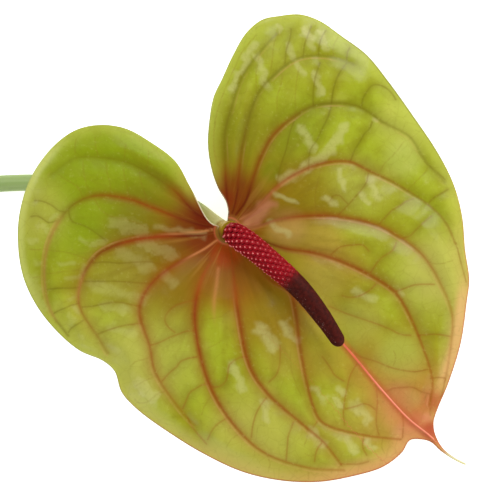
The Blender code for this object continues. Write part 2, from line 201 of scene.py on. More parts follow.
# Every vein is drawn from the seat out. The main ones come in the order in which they leave the seat.
MIDRIB = [
    (8.5, -7.6), (17.0, -15.6), (27.0, -26.0), (38.7, -38.0), (51.3, -53.0), (60.0, -62.4), (66.5, -67.6),
    (68.3, -69.2),
]
RIGHT_VEINS = [
    [(-0.6, 14.7), (-0.9, 23.3), (-1.0, 32.3), (1.3, 41.3), (4.3, 50.3), (10.3, 59.0), (16.3, 65.5)],
    [
        (2.9, 11.7), (3.6, 18.7), (5.0, 29.3), (9.7, 45.0), (14.3, 50.7), (23.0, 57.2), (32.3, 58.0),
        (42.3, 55.0),
    ],
    [
        (5.8, 9.7), (8.0, 16.3), (11.0, 24.7), (15.0, 31.7), (21.7, 37.7), (28.0, 41.3), (34.7, 42.3),
        (43.0, 41.3), (52.0, 35.7), (60.3, 31.3), (65.7, 23.3), (72.5, 15.7),
    ],
    [
        (8.6, 6.6), (16.3, 14.7), (22.7, 19.0), (31.0, 22.3), (40.0, 23.0), (46.7, 20.0), (55.7, 15.7),
        (67.3, 8.0), (72.3, 2.7), (75.7, -5.0),
    ],
    [
        (8.7, 1.3), (16.3, 3.7), (26.0, 5.0), (36.0, 4.8), (49.0, 2.0), (56.7, -2.0), (64.7, -8.3),
        (71.0, -18.7), (74.3, -27.7), (74.0, -38.3), (72.3, -49.7),
    ],
    [
        (9.4, -2.4), (18.5, -5.7), (28.7, -7.3), (41.3, -11.7), (54.7, -19.7), (59.0, -25.7),
        (63.7, -36.0), (68.0, -50.0), (67.0, -58.5),
    ],
]
LEFT_VEINS = [
    [
        (14.5, -16.5), (20.5, -20.0), (22.3, -26.0), (24.3, -40.7), (28.7, -59.3), (31.7, -63.7),
        (45.3, -67.7), (57.3, -69.3),
    ],
    [
        (1.2, -8.5), (2.0, -15.7), (3.3, -26.3), (7.3, -45.0), (13.3, -54.0), (24.3, -63.7), (31.7, -70.0),
        (38.0, -78.0),
    ],
    [
        (-4.7, -8.7), (-8.7, -16.0), (-11.0, -28.0), (-7.0, -48.7), (0.0, -61.7), (11.3, -73.0),
        (27.0, -78.5), (38.5, -79.3),
    ],
    [
        (-7.6, -5.8), (-20.3, -13.0), (-26.7, -19.3), (-29.3, -26.3), (-26.0, -38.0), (-24.0, -47.0),
        (-15.0, -60.3), (-11.0, -64.5),
    ],
    [
        (-9.0, -1.5), (-20.3, -1.7), (-31.0, -3.0), (-38.7, -5.3), (-44.0, -8.7), (-48.5, -16.0),
        (-49.3, -24.7), (-43.0, -35.3), (-39.5, -41.0),
    ],
    [
        (-9.0, 2.0), (-17.7, 4.8), (-25.7, 8.0), (-33.3, 10.7), (-44.0, 11.6), (-52.0, 8.0),
        (-59.0, -2.7), (-61.0, -14.0), (-59.0, -26.3), (-52.7, -35.3),
    ],
    [(-10.7, 6.0), (-17.7, 13.3), (-26.0, 19.0), (-33.3, 22.7), (-42.0, 24.3), (-50.7, 24.0), (-58.5, 18.5)],
]

print("main veins:", len(RIGHT_VEINS) + len(LEFT_VEINS), "and a midrib")

# %% The cross veins, and the faint ones that hardly show
CROSS_VEINS = [
    [(19, 55.3), (19.3, 59.7), (20.7, 64.3), (21, 67.7)],
    [(25, 57.7), (25.3, 61.3), (26.7, 65.3), (27.7, 68)],
    [(30, 58), (30.3, 61.7), (31.7, 65.3), (33, 67)],
    [(39.3, 56.7), (39.7, 59.3), (40.7, 61.3)],
    [(28.3, 41.3), (28.3, 46.3), (29, 51), (30.7, 56.3)],
    [(34.3, 42.3), (35, 47), (36.3, 51), (38.3, 54.3), (39.7, 56)],
    [(44.3, 41), (44.7, 43.7), (46, 46), (48, 48.3), (51.3, 48), (54.3, 45.7), (56, 43)],
    [(16.3, 15.7), (17.3, 21), (19.3, 27), (20.7, 33), (22.7, 38)],
    [(26.7, 20.3), (27.3, 26.7), (29.3, 29.7), (31, 33.3), (33.3, 38), (34.3, 41.7)],
    [(40.7, 23.3), (42, 26.7), (44, 30), (45.3, 32.3), (47, 34), (48, 36.7)],
    [(66.7, 9.3), (68.3, 11), (70.7, 12.3), (73, 13.7)],
    [(36.3, 5), (39.3, 8), (42, 11), (44, 13.3), (46, 16.3), (46.7, 19.7)],
    [(34, 10.3), (35, 11.7), (37, 11.7), (38.7, 10), (40, 8.7)],
    [(50, 2), (52, 4.3), (54.3, 6.7), (57, 8.3), (59, 9.7), (61.7, 10.7)],
    [(58, -2.3), (60.3, -1.7), (62, 0), (64.3, 2.3), (68, 5.3)],
    [(34.3, -7.7), (37.3, -5.3), (41.3, -4.7), (44.7, -4.7), (46.7, -6.7)],
    [(47.3, -13.7), (50.7, -9), (54.7, -6.3), (56, -3.3)],
    [(55.7, -20), (58.7, -19), (61.3, -18), (64, -17.7), (69, -17.7)],
    [(63, -34.7), (66.7, -34.3), (69.7, -34.3), (73.7, -35)],
    [(67.3, -49), (70, -48.7), (73, -49)],
    [(33.7, -25), (39, -27.3), (44, -29), (49, -30.7), (54, -32.7), (57.3, -34.3), (61.3, -34.7)],
    [(39, -38.7), (44, -41.7), (49, -43.3), (54, -45.3), (58.3, -46.3), (62.3, -46.7), (66.3, -46)],
    [(52.3, -53.7), (54.7, -52.3), (58, -52), (61.7, -52), (64, -53.3), (67.3, -54.3)],
    [(49.3, -17.3), (47.7, -19), (46, -20.3), (43, -21.7), (40, -22), (37.3, -21.3)],
    [(42.7, -44.3), (40.7, -47.7), (39.7, -51.3), (38.7, -56.3), (38.3, -60.3), (38.7, -64.3)],
    [(49.3, -53), (49.7, -56.3), (49.3, -60.3), (49.3, -64.3), (50.3, -68.3)],
    [(31.3, -41.7), (33.7, -45), (35.3, -47.7), (38.3, -49.7)],
    [(39, -59), (43, -58), (45, -57.3), (47.3, -58), (49.3, -59.7)],
    [(58, -61), (58.3, -64.7), (58, -68.7)],
    [(45, -68.3), (44.7, -71.7), (46, -74.3)],
    [(37.3, -77.3), (40.7, -77.3), (43.3, -77.3), (47.3, -76.3)],
    [(17.3, -38), (17.3, -42.3), (17, -45), (16, -47.7), (13.7, -50)],
    [
        (6.3, -41.7), (4, -42), (1.7, -43.3), (0.3, -44.7), (0, -47.3),
        (-1, -50.3), (-3.3, -51.7), (-5.7, -51.7),
    ],
    [(12.7, -55.3), (10.7, -58), (9.3, -60.7), (8.3, -64.3), (7.7, -69)],
    [(21.7, -63.3), (21, -65.3), (20, -67.7), (19.7, -71), (19.3, -76)],
    [(31, -70.3), (29.7, -72), (29, -74), (28.7, -76.3)],
    [(-26, -38), (-22.7, -37), (-19.3, -35.3), (-16.7, -34.3), (-14, -33.3), (-11, -33)],
    [(-21.7, -49.7), (-19.3, -47), (-17, -45), (-15.7, -43.3), (-13.3, -42.3), (-9.7, -41.7)],
    [(-15, -59), (-13.7, -56), (-12.7, -53.7), (-10.7, -52.3), (-8.3, -51), (-5.7, -51)],
    [(-6.7, -69.3), (-5.3, -66.3), (-3.7, -64.3), (-0.7, -62.3)],
    [
        (-48.7, -25.3), (-45.3, -25), (-41.7, -24.3), (-38.3, -23.7),
        (-35.3, -23.7), (-32.7, -24.3), (-29.3, -25),
    ],
    [(-43.3, -34.3), (-40, -33), (-37, -32), (-34.3, -31.3), (-31.7, -31), (-29, -30.7)],
    [
        (-48, -16.7), (-44.3, -16.7), (-40.3, -16.7), (-36.7, -16.7),
        (-32.7, -17), (-28.7, -17.3), (-25.3, -17.7),
    ],
    [(-45.3, -10.7), (-41, -10.3), (-36, -10.7), (-30, -10.3), (-25.3, -10.3), (-20.3, -12)],
    [
        (-10.7, -23), (-12.7, -23.3), (-15.3, -24), (-17.3, -24.7), (-19.3, -26.3),
        (-20.7, -28.3), (-20.7, -30.3), (-19.3, -32.3), (-17, -34),
    ],
    [
        (-40.3, -3.3), (-42.3, -1.7), (-44.7, 0), (-46.7, 1.3), (-49.3, 2.3),
        (-51.3, 3), (-52.3, 4.3), (-52.7, 7.3),
    ],
    [(-49.3, -18.7), (-52, -19), (-55.3, -19), (-58.7, -19.3), (-60.7, -19.7)],
    [(-49.3, -24), (-52, -24.7), (-54.3, -25.7), (-56.7, -26.7), (-58.3, -27.7)],
    [(-48, -29.7), (-50, -31), (-52, -32.3), (-53.3, -34.3)],
    [(-57, 3.3), (-59.3, 2.7), (-61.3, 4), (-63.3, 5), (-65.3, 4.7)],
    [(-54.3, 6.3), (-56, 6.7), (-58, 8.3), (-60, 9.3), (-62.3, 10), (-64, 10)],
    [(-13.5, -62.2), (-11.7, -65.3), (-9.3, -68.3), (-6.7, -71.3)],
    [(63.3, 26.3), (66.0, 22.3), (67.7, 21.0), (69.3, 19.7), (72.7, 16.7)],
    [(75.7, -4.0), (76.7, -8.3), (77.7, -12.3), (79.0, -17.0)],
    [(72.3, -49.0), (71.7, -52.3), (70.7, -56.3)],
    [(67.3, -54.7), (67.3, -61.3)],
    [(29.7, -63.0), (28.3, -65.0)],
]
FAINT_VEINS = [
    [(14, 52), (14.7, 56.3), (15, 60.3), (16, 64.3)],
    [(9.7, 45.3), (9.3, 51), (10, 56.3), (11.3, 60.3)],
    [(35, 58), (35, 61.3), (36.7, 64.3)],
    [(16.3, 40.3), (16.3, 44.3), (17.7, 48.7), (18.3, 54.3)],
    [(22.7, 38.3), (22.3, 43.7), (22.7, 49), (23.7, 55)],
    [(-2, 18.7), (-4.3, 25.3), (-4.7, 31), (-3.7, 38.7), (-1.3, 46), (1.7, 53), (5, 59.7), (9.3, 65)],
    [(50, 18.3), (51.7, 22), (55, 25.3), (59, 30.3)],
    [(59, 12.7), (62.3, 16.3), (65.7, 19.7), (66.7, 22)],
    [(31.3, 21.7), (30, 17), (29, 12), (29.3, 5.3)],
    [(66, -10.3), (69.7, -11), (74.7, -9.7)],
    [(55, -39.7), (55.7, -41.7), (55.3, -43.7), (54.7, -45.3)],
    [(64, -57.7), (65.3, -56), (66.3, -53.7)],
    [(51.3, -69), (51, -71.7), (52, -74)],
    [(14.7, -23), (16.3, -31.3), (17.3, -38)],
    [(20.7, -39.7), (21, -45.7), (22.7, -51), (24.7, -55.7)],
    [(25.7, -73.7), (27.7, -74.7), (29, -73.7)],
    [(26.3, -65.3), (26.3, -68), (25.3, -70.7)],
    [(-8.7, -61), (-7.7, -58), (-5.7, -55)],
    [(-25.3, -6.3), (-23.3, -8), (-20.3, -8.7)],
    [(-25.7, -41.7), (-28.3, -42.7), (-30.7, -43.3), (-32.3, -45)],
    [(-23.3, -48), (-26, -49), (-28.3, -50), (-31, -51.7)],
    [(-21, -53.3), (-23.3, -54), (-25.3, -55.7), (-27.3, -57), (-29.7, -57), (-31.3, -55.3)],
    [(-44, 10.3), (-42, 7), (-39.3, 5), (-36.7, 4.3), (-33.3, 3.7), (-29.3, 2.3), (-25.3, 0.3)],
    [(-46.3, -9.7), (-49.3, -8.3), (-52.7, -7.3), (-56.7, -6.7), (-60, -6.3)],
    [(-48.7, -13), (-52.7, -13.3), (-56, -13.7), (-60.7, -14.3)],
    [(-48, 10.7), (-49, 13.7), (-51.3, 15.7), (-53.7, 17), (-56, 18.7)],
    [(-60.7, -6), (-63.3, -6.3), (-66, -6)],
    [(-61.3, -14.7), (-63.3, -15.3), (-65.7, -15.7)],
    [(-45.3, 11.7), (-46.7, 15.3), (-47.7, 19.7), (-48, 24)],
    [(-38.7, 11.3), (-39, 15.7), (-40, 19.7), (-40.3, 23.7)],
    [(-32.7, 10.3), (-33.3, 14.3), (-34.3, 18.7), (-34.7, 22.7)],
    [(-26.7, 8.3), (-27.3, 12), (-28.7, 16), (-29.3, 20.3)],
    [(-42.7, 24.3), (-43.7, 27.7), (-44, 31)],
    [(-34.3, 22.7), (-34, 26.3), (-33.7, 29.7)],
    [(-50, 23.7), (-50.7, 27), (-50.3, 30.3)],
    [(-27, 20), (-26.3, 23.7), (-26.3, 27)],
    [(13.3, -79.7), (14, -77), (12.7, -74)],
    [(26.7, -82.3), (26.7, -79)],
    [(4, -67), (1.3, -69), (-0.7, -71.7)],
    [(-2, -36.3), (-4.7, -38), (-7.3, -39)],
    [(0.7, -26.3), (-2, -28.3), (-5.3, -29), (-9, -29.7)],
]

print("cross veins:", len(CROSS_VEINS), "faint veins:", len(FAINT_VEINS))

# %% [markdown]
# ## The form of the blade
#
# Seen from the side the blade is a shallow funnel with six slow waves, a margin that droops a little,
# lobes that lift beside the notch and a tip that curls up. Between the veins it swells up like a quilt.
# All of this is one height for each place of the heart, which is why the blade is drawn flat first and
# lifted afterwards.

# %% Large form: funnel, waves, lobes, droop, curl and pillows
FUNNEL_DEPTH, FUNNEL_RADIUS = 5.0, 20.0
WAVE_HEIGHT, WAVE_COUNT, WAVE_TURN, WAVE_RADIUS = 2.3, 6, math.radians(72), 80.0
LOBE_RISE, LOBE_BEARING, LOBE_SPREAD = 3.0, math.radians(120), math.radians(40)
LOBE_FROM, LOBE_TO = 6.0, 40.0
MARGIN_DROOP, MARGIN_WIDTH = 1.6, 9.0
DROOP_FROM, DROOP_TO = 15.0, 45.0
TIP_BEARING, TIP_CURL, TIP_FROM, TIP_TO = math.radians(-45), 4.5, 84.0, 112.0
PILLOW_HEIGHT, PILLOW_REACH, PILLOW_MARGIN = 1.15, 3.4, 8.0
PILLOW_START, PILLOW_FULL = 7.0, 24.0  # from the seat: no pillow within the first, all of it past the second


def large_form(points, to_rim, to_vein):
    """Height of the blade above the seat, as the frame's own solid has it."""
    reach = np.linalg.norm(points, axis=1)
    bearing = np.arctan2(points[:, 1], points[:, 0])
    funnel = FUNNEL_DEPTH * (1 - np.exp(-((reach / FUNNEL_RADIUS) ** 2)))
    wave = WAVE_HEIGHT * np.cos(WAVE_COUNT * bearing + WAVE_TURN) * np.minimum(reach / WAVE_RADIUS, 1) ** 2
    off_bearing = np.abs((bearing - LOBE_BEARING + math.pi) % (2 * math.pi) - math.pi)
    rise = LOBE_RISE * np.exp(-((off_bearing / LOBE_SPREAD) ** 2)) * smooth_step(reach, LOBE_FROM, LOBE_TO)
    droop = MARGIN_DROOP * smooth_step(MARGIN_WIDTH - to_rim, 0, MARGIN_WIDTH)
    droop *= smooth_step(reach, DROOP_FROM, DROOP_TO)
    towards_tip = points @ (math.cos(TIP_BEARING), math.sin(TIP_BEARING))
    curl = TIP_CURL * smooth_step(towards_tip, TIP_FROM, TIP_TO)
    pillow = PILLOW_HEIGHT * (1 - np.exp(-to_vein / PILLOW_REACH)) * smooth_step(to_rim, -1, PILLOW_MARGIN)
    pillow *= smooth_step(reach, PILLOW_START, PILLOW_FULL)
    return funnel + wave + rise + curl - droop + pillow


# %% Fine relief: rounded grooves, smaller pillows between the cross veins, and the raised midrib
GROOVE_ROUNDING, FINE_ROUNDING = 1.0, 0.35  # half width of a groove's rounded floor, main and fine veins
CROSS_HEIGHT, CROSS_REACH = 0.26, 2.2
FAINT_HEIGHT, FAINT_REACH = 0.09, 1.3
RIB_HEIGHT, RIB_WIDTH = 0.5, 0.4
RIB_START, RIB_FULL = 8.0, 20.0
FLAT_RIM, RIB_RIM = 3.0, 1.5  # the relief fades out over this much of the margin


def rounded(distance, rounding):
    """A distance that starts off gently, so that a groove has a floor and no knife edge."""
    return np.sqrt(distance**2 + rounding**2) - rounding


def fine_relief(points, to_cross, to_faint, to_rib, to_rim):
    """What the solids leave out: the small pillows between the fine veins, and the midrib's ridge."""
    reach = np.linalg.norm(points, axis=1)
    share = smooth_step(reach, PILLOW_START, PILLOW_FULL) * smooth_step(to_rim, 0, FLAT_RIM)
    small = CROSS_HEIGHT * (1 - np.exp(-rounded(to_cross, FINE_ROUNDING) / CROSS_REACH))
    small += FAINT_HEIGHT * (1 - np.exp(-rounded(to_faint, FINE_ROUNDING) / FAINT_REACH))
    rib = RIB_HEIGHT * np.exp(-((to_rib / RIB_WIDTH) ** 2)) * smooth_step(reach, RIB_START, RIB_FULL)
    return share * small + rib * smooth_step(to_rim, 0, RIB_RIM)


# %% [markdown]
# ## The plan of the blade
#
# A grid laid over the heart would cut across the veins and leave them ragged. Here the points are sown in
# rows along the margin and on both sides of the midrib, the main veins and the cross veins, then a
# honeycomb fills what is left, and a Delaunay triangulation joins them with an edge along each of those
# lines, which a subdivided plane can't do.

# %% Sow the points
CELL = 0.66  # from one point of the honeycomb to the next
ROW = 0.62  # between a vein and the rows beside it
VEIN_GAP, ROW_GAP, RIB_GAP = 0.75 * ROW, 0.8 * ROW, 0.35 * ROW  # least room between a new point and the rest
COMB_GAP = 0.72 * CELL
RIM_SPACING = 1.3  # coarser, to measure distances from
NOTCH_RADIUS = 3.4
NOTCH_OPEN_FROM = math.radians(92)  # the notch round the stipe is open between these bearings
NOTCH_OPEN_TO = math.radians(150)


def spathe_outline(spacing):
    """The margin of the heart, closed by the notch round the stipe."""
    margin = smooth_line(RIGHT_LOBE + TIP + LEFT_SIDE, spacing)
    count = round(NOTCH_RADIUS * (2 * math.pi + NOTCH_OPEN_FROM - NOTCH_OPEN_TO) / spacing)
    bearings = np.linspace(NOTCH_OPEN_TO, NOTCH_OPEN_FROM + 2 * math.pi, count)
    notch = NOTCH_RADIUS * np.column_stack((np.cos(bearings), np.sin(bearings)))
    return np.vstack((margin, notch))


def beside(line, gap):
    """A row that keeps its distance to one side of a line."""
    ahead = np.gradient(line, axis=0)
    ahead /= np.linalg.norm(ahead, axis=1)[:, None]
    return line + gap * np.column_stack((-ahead[:, 1], ahead[:, 0]))


def sown(points, taken, gap):
    """True for the points that lie farther than `gap` from every point taken so far."""
    tree = KDTree(len(taken))
    for i, (x, y) in enumerate(taken):
        tree.insert((x, y, 0), i)
    tree.balance()
    return np.array([tree.find((x, y, 0))[2] > gap for x, y in points])


def blade_plan(outline, chains):
    """Triangles of the blade laid flat, with an edge along the margin and along each chain of points."""
    count = len(outline)
    points = outline
    edges = [(i, (i + 1) % count) for i in range(count)]
    for chain in chains:
        kept = sown(chain, points, VEIN_GAP) & inside(chain, outline)
        first = len(points)
        numbers = np.cumsum(kept) - 1 + first
        edges += [(numbers[i], numbers[i + 1]) for i in range(len(chain) - 1) if kept[i] and kept[i + 1]]
        points = np.vstack((points, chain[kept]))
    rows = [beside(outline, side * ROW) for side in (-1, 1)]
    rows += [beside(chain, side * step * ROW) for step in (1, 2) for chain in chains for side in (-1, 1)]
    gaps = [ROW_GAP] * len(rows)
    for side in (-1, 1):
        rows.insert(0, beside(chains[0], side * ROW / 2))
        gaps.insert(0, RIB_GAP)
    for row, gap in zip(rows, gaps):
        points = np.vstack((points, row[sown(row, points, gap) & inside(row, outline)]))
    low, high = outline.min(axis=0), outline.max(axis=0)
    lanes = np.arange(low[1], high[1], CELL * math.sqrt(3) / 2)
    columns = np.arange(low[0], high[0], CELL)
    comb = np.array([(x + CELL / 2 * (k % 2), y) for k, y in enumerate(lanes) for x in columns])
    comb = comb[inside(comb, outline)]
    points = np.vstack((points, comb[sown(comb, points, COMB_GAP)]))
    edges = [(int(a), int(b)) for a, b in edges]
    flat, _, faces, _, _, _ = delaunay_2d_cdt([Vector(p) for p in points], edges, [], 1, 1e-4)
    flat = np.array([tuple(p) for p in flat])
    faces = np.array([face[:] for face in faces])
    return flat, faces[inside(flat[faces].mean(axis=1), outline)]


outline = spathe_outline(CELL)
coarse_rim = spathe_outline(RIM_SPACING)
coarse_rim = np.vstack((coarse_rim, coarse_rim[:1]))
midrib = smooth_line(MIDRIB, CELL)
VEIN_STARTS = [  # where each main vein leaves the seat
    (0.2, 5.6), (1.4, 5.8), (2.6, 5.4), (4.2, 4.0), (4.6, 1.4), (4.8, -0.8),
    (3.6, -4.6), (0.4, -4.8), (-2.2, -4.6), (-3.9, -3.2), (-4.7, -0.6), (-4.6, 1.0), (-4.8, 3.0),
]
main_veins = [
    smooth_line([start, *line], CELL) for start, line in zip(VEIN_STARTS, [*RIGHT_VEINS, *LEFT_VEINS])
]
cross_veins = [smooth_line(line, CELL) for line in CROSS_VEINS]
faint_veins = [smooth_line(line, CELL) for line in FAINT_VEINS]
flat, faces = blade_plan(outline, [midrib, *main_veins, *cross_veins])
print("points:", len(flat), "triangles on one side:", len(faces))

# %% Measure every point
SIDE_VEIN_FAR = 7.0  # enough for the narrow grooves of the finer veins
GLOW_WIDTH, GLOW_START = 2.6, (2, 16)  # the red glow sets in between these distances from the seat
THIN_START, START_STRETCH = 0.35, (4, 18)  # a vein leaves the seat at this share of its width
END_LOSS, END_STRETCH = 0.45, (0.3, 0.9)  # and loses this share of it over this part of its length
DEPTH_STRETCH = (0.25, 1.0)
to_rim = distance_to_line(flat, coarse_rim)
rib_side, _ = follow(flat, midrib[::2])
to_cross = nearest_of(flat, [line[::2] for line in cross_veins], far=SIDE_VEIN_FAR)
to_faint = nearest_of(flat, [line[::2] for line in faint_veins], far=SIDE_VEIN_FAR)
followed = [follow(flat, line[::2]) for line in main_veins]
all_sides = np.array([side for side, _ in followed])
nearest = np.abs(all_sides).argmin(axis=0)
vein_side = all_sides[nearest, np.arange(len(flat))]
vein_along = np.array([along for _, along in followed])[nearest, np.arange(len(flat))]
to_main = np.abs(vein_side)
# For each main vein: how far out it is red, how strongly the red soaks into the blade beside it, its half
# width, and the depth of its colour near the seat and at its end.
VEIN_HABITS = [
    (20, 0.2, 1.1, 0.5, 0.25),
    (24, 0.2, 1.0, 0.55, 0.22),
    (50, 0.25, 1.0, 0.6, 0.2),
    (76, 0.3, 0.8, 0.5, 0.34),
    (90, 0.4, 1.0, 0.5, 0.25),
    (99, 0.45, 0.9, 0.55, 0.42),
    (115, 0.5, 0.8, 0.45, 0.36),
    (110, 0.6, 0.95, 0.6, 0.36),
    (110, 0.6, 0.95, 0.65, 0.3),
    (100, 0.6, 0.9, 0.5, 0.2),
    (95, 0.4, 1.1, 0.7, 0.25),
    (60, 0.25, 1.1, 0.5, 0.36),
    (24, 0.2, 1.7, 0.6, 0.15),
]
red_reach, glow, vein_width, depth_near, depth_far = np.array(VEIN_HABITS)[nearest].T
vein_red = 1 - smooth_step(vein_along, 0.5 * red_reach, red_reach)
vein_glow = glow * vein_red * np.exp(-((to_main / GLOW_WIDTH) ** 2)) * smooth_step(vein_along, *GLOW_START)
vein_share = vein_along / np.array([lengths_along(line)[-1] for line in main_veins])[nearest]
vein_depth = depth_near + (depth_far - depth_near) * smooth_step(vein_share, *DEPTH_STRETCH)
vein_width = vein_width * (THIN_START + (1 - THIN_START) * smooth_step(vein_along, *START_STRETCH))
vein_width = vein_width * (1 - END_LOSS * smooth_step(vein_share, *END_STRETCH))
print("widest vein (mm):", round(2 * vein_width.max(), 2))

# %% Where painted sheen stands for the soft highlights on the wax
# Painted highlights: each stroke is a pale patch of sheen, laid into the colour of the wax.
SHEEN_STROKES = [  # short strokes, each from a place to a place, with its half width
    (9, 62, 5.7, 57, 1.4), (6.7, 57, 4.3, 53, 1.2), (3.3, 52, 1.3, 47, 1.4), (20, 62, 21.7, 57, 1.1),
    (25.7, 67, 28.3, 61, 1.3), (30.7, 66, 32.7, 60.5, 1), (22.7, 55, 25, 52, 1.2),
    (29, 52, 30.7, 45.5, 1.4), (9.7, 58, 13, 48, 1.6), (24, 33.7, 28.3, 27.5, 1.6),
    (39, 34.7, 33.3, 26, 1.7), (33.3, 26, 18, 16.7, 1.9), (47, 17.5, 49.5, 11, 1.5),
    (36.8, 20, 38.5, 13.5, 1.2), (44, 12.5, 46.5, 9.5, 1.1), (15, 12.7, 23, 9.3, 0.9),
    (32, 11, 36, 9, 1.2), (14, 2.6, 20, -1, 1.5), (42.5, -20, 48, -22.5, 1.6), (57, -20, 58, -21, 0.9),
    (10, -32, 15.5, -38.5, 2.2), (18.5, -31, 22.8, -36, 1.8), (28.5, -52.5, 32, -55.5, 1.6),
    (36.8, -52, 38.2, -54, 1.1), (35.5, -56, 36.8, -57.8, 1), (12, -57, 13, -62.5, 1.3),
    (28.5, -66.5, 31.3, -70.5, 1.8), (39.5, -69, 42, -73, 1.5), (42.5, -58.5, 46, -62, 2.2),
    (46.2, -70, 48.2, -72, 1.4), (1.5, -44.5, 4.5, -52, 1.8), (-30, -50, -24.5, -55.5, 2),
    (-45, -18, -28, -22.5, 2.2), (-41, -24.5, -34.5, -26.5, 1.8), (-39, -32, -31.2, -34, 1.6),
    (-52.5, -28, -51, -29.5, 1.1), (-37.5, 2.8, -28, -0.5, 2), (-35.5, -7, -26, -12, 2.6),
    (-29, -4, -18, -8, 2), (-21, -14.5, -17.8, -17.5, 1.6), (-23, 1.4, -8.5, -1.5, 1.4),
    (-62.5, 1.5, -60.3, 0.5, 1), (-64.5, -16, -62, -28, 2.2), (16.5, 68.5, 17.3, 66.5, 0.8),
    (48.3, 37, 49, 36.5, 0.8), (-65.8, -3.3, -63.3, -3.0, 1.1), (-63.6, -10.6, -62.4, -10.6, 1.2),
    (-55.8, -10.9, -51, -10.6, 0.8), (-53.7, -15.7, -50.2, -15.4, 0.8),
    (-47.8, -11.4, -48.8, -15.6, 0.9), (-44.9, -4.6, -41.3, -3.6, 1), (-49.2, -2.7, -46.8, -3.9, 0.8),
    (-58.9, 4, -56.5, 5.6, 0.8), (-52.8, -22.8, -50.4, -22.1, 0.8), (-49.2, -34.8, -48.2, -35.3, 1),
]
WANDER_SIZE, FRAY, SOFT_EDGE = 3, 0.9, (0.1, 1.7)  # the last two in half widths of a stroke
shift_across = [noise((x / WANDER_SIZE, y / WANDER_SIZE, 0)) for x, y in flat]
shift_up = [noise((x / WANDER_SIZE, y / WANDER_SIZE, 9)) for x, y in flat]
wander = np.column_stack((shift_across, shift_up))
painted_sheen = np.zeros(len(flat))
# The places are shifted a little by a slow noise before they are measured, which frays the strokes.
for x0, y0, x1, y1, half in SHEEN_STROKES:
    stroke = distance_to_line(flat + FRAY * half * wander, np.array([(x0, y0), (x1, y1)]), far=3 * half)
    painted_sheen = np.maximum(painted_sheen, 1 - smooth_step(stroke / half, *SOFT_EDGE))

# %% Pale lines on the first stretch of some veins, partly painted highlight, and a pink flush beside the seat
PALE_STARTS = [  # how strong, half width, and the line
    # The first four are pale lines on raised veins, partly their own colour and partly painted highlight.
    (0.5, 0.32, [(-4.6, 0.6), (-9.0, -0.2), (-20.3, -1.2), (-28.0, -2.2)]),
    (0.55, 0.32, [(-3.9, -3.2), (-7.6, -5.8), (-14.0, -9.5), (-20.3, -13.3)]),
    (0.55, 0.32, [(4.2, 4.0), (8.6, 6.4), (16.3, 14.3), (22.7, 18.5), (31.0, 21.8)]),
    (0.6, 0.32, [(4.6, 1.4), (8.7, 1.0), (16.3, 3.5), (24.0, 4.7)]),
    # Painted highlight: a pale streak on a fold between two veins below the seat.
    (0.42, 0.6, [(-3.2, -12.5), (-3.7, -17.0), (-4.6, -24.0), (-4.2, -34.0)]),
]
pale_start = np.zeros(len(flat))
for strength, half, course in PALE_STARTS:
    pale_line = smooth_line(course, CELL)
    off_line, run = follow(flat, pale_line, far=SIDE_VEIN_FAR)
    fading = 1 - smooth_step(run / lengths_along(pale_line)[-1], 0.4, 1)
    pale_start = np.maximum(pale_start, strength * np.exp(-((off_line / half) ** 2)) * fading)
PINK_STROKE = np.array([(6.6, 2.6), (13.6, 8.7)])
PINK_FRAY, PINK_EDGE = 1.4, (0.4, 3.8)
pink_stroke = 1 - smooth_step(distance_to_line(flat + PINK_FRAY * wander, PINK_STROKE), *PINK_EDGE)
print("share of the blade under bloom:", round(float((painted_sheen > 0.5).mean()), 3))

# %% Lift the blade
CRINKLE_HEIGHT, CRINKLE_SIZE = 0.16, 5.0
CRINKLE_FINER, CRINKLE_FINE_SHARE = 2.3, 0.4
CALM_RIM, CALM_GROOVE = 2.0, 2.5  # the wax lies smooth this near to the margin and to a main vein
COLLAR_RISE, COLLAR_WIDTH = 1.5, 1.1  # the rim with which the spathe clasps the stipe


def crinkle(points):
    """Shallow unevenness of the wax, a few millimetres across."""
    broad = [noise((x / CRINKLE_SIZE, y / CRINKLE_SIZE, 0)) for x, y in points]
    small = [
        noise((x * CRINKLE_FINER / CRINKLE_SIZE, y * CRINKLE_FINER / CRINKLE_SIZE, 7)) for x, y in points
    ]
    return CRINKLE_HEIGHT * (np.array(broad) + CRINKLE_FINE_SHARE * np.array(small))


to_quilt = np.minimum(to_main, np.abs(rib_side))
heights = large_form(flat, to_rim, rounded(to_quilt, GROOVE_ROUNDING))
heights += fine_relief(flat, to_cross, to_faint, np.abs(rib_side), to_rim)
seat_reach = np.linalg.norm(flat, axis=1)
heights += COLLAR_RISE * np.exp(-np.maximum(seat_reach - NOTCH_RADIUS, 0) / COLLAR_WIDTH)
heights += crinkle(flat) * smooth_step(to_rim, 0, CALM_RIM) * smooth_step(to_quilt, 0, CALM_GROOVE)
print("height of the blade (mm):", heights.min().round(2), "to", heights.max().round(2))

# %% Make the sheet, give it its thickness, and write down what the colours need
BLADE_THICKNESS = 0.55


def leave_nothing_selected():
    if bpy.context.object and bpy.context.object.mode != "OBJECT":
        bpy.ops.object.mode_set(mode="OBJECT")
    bpy.ops.object.select_all(action="DESELECT")


def new_piece(name, mesh):
    """Puts a mesh into the scene, as the one object that is selected."""
    leave_nothing_selected()
    piece = bpy.data.objects.new(name, mesh)
    bpy.context.scene.collection.objects.link(piece)
    bpy.context.view_layer.objects.active = piece
    piece.select_set(True)
    return piece


def finish_piece(piece, name):
    """Names a piece and lets it ride on the frame's one body."""
    piece.name = name
    piece.data.name = name
    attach(piece, "root")


def write_measures(mesh, measures):
    """Writes one number for each point of a mesh under each name, where a shader can read it."""
    for name, values in measures.items():
        numbers = np.asarray(values, np.float32)
        mesh.attributes.new(name, "FLOAT", "POINT").data.foreach_set("value", numbers)


def triangle_count(piece):
    return sum(len(face.vertices) - 2 for face in piece.data.polygons)


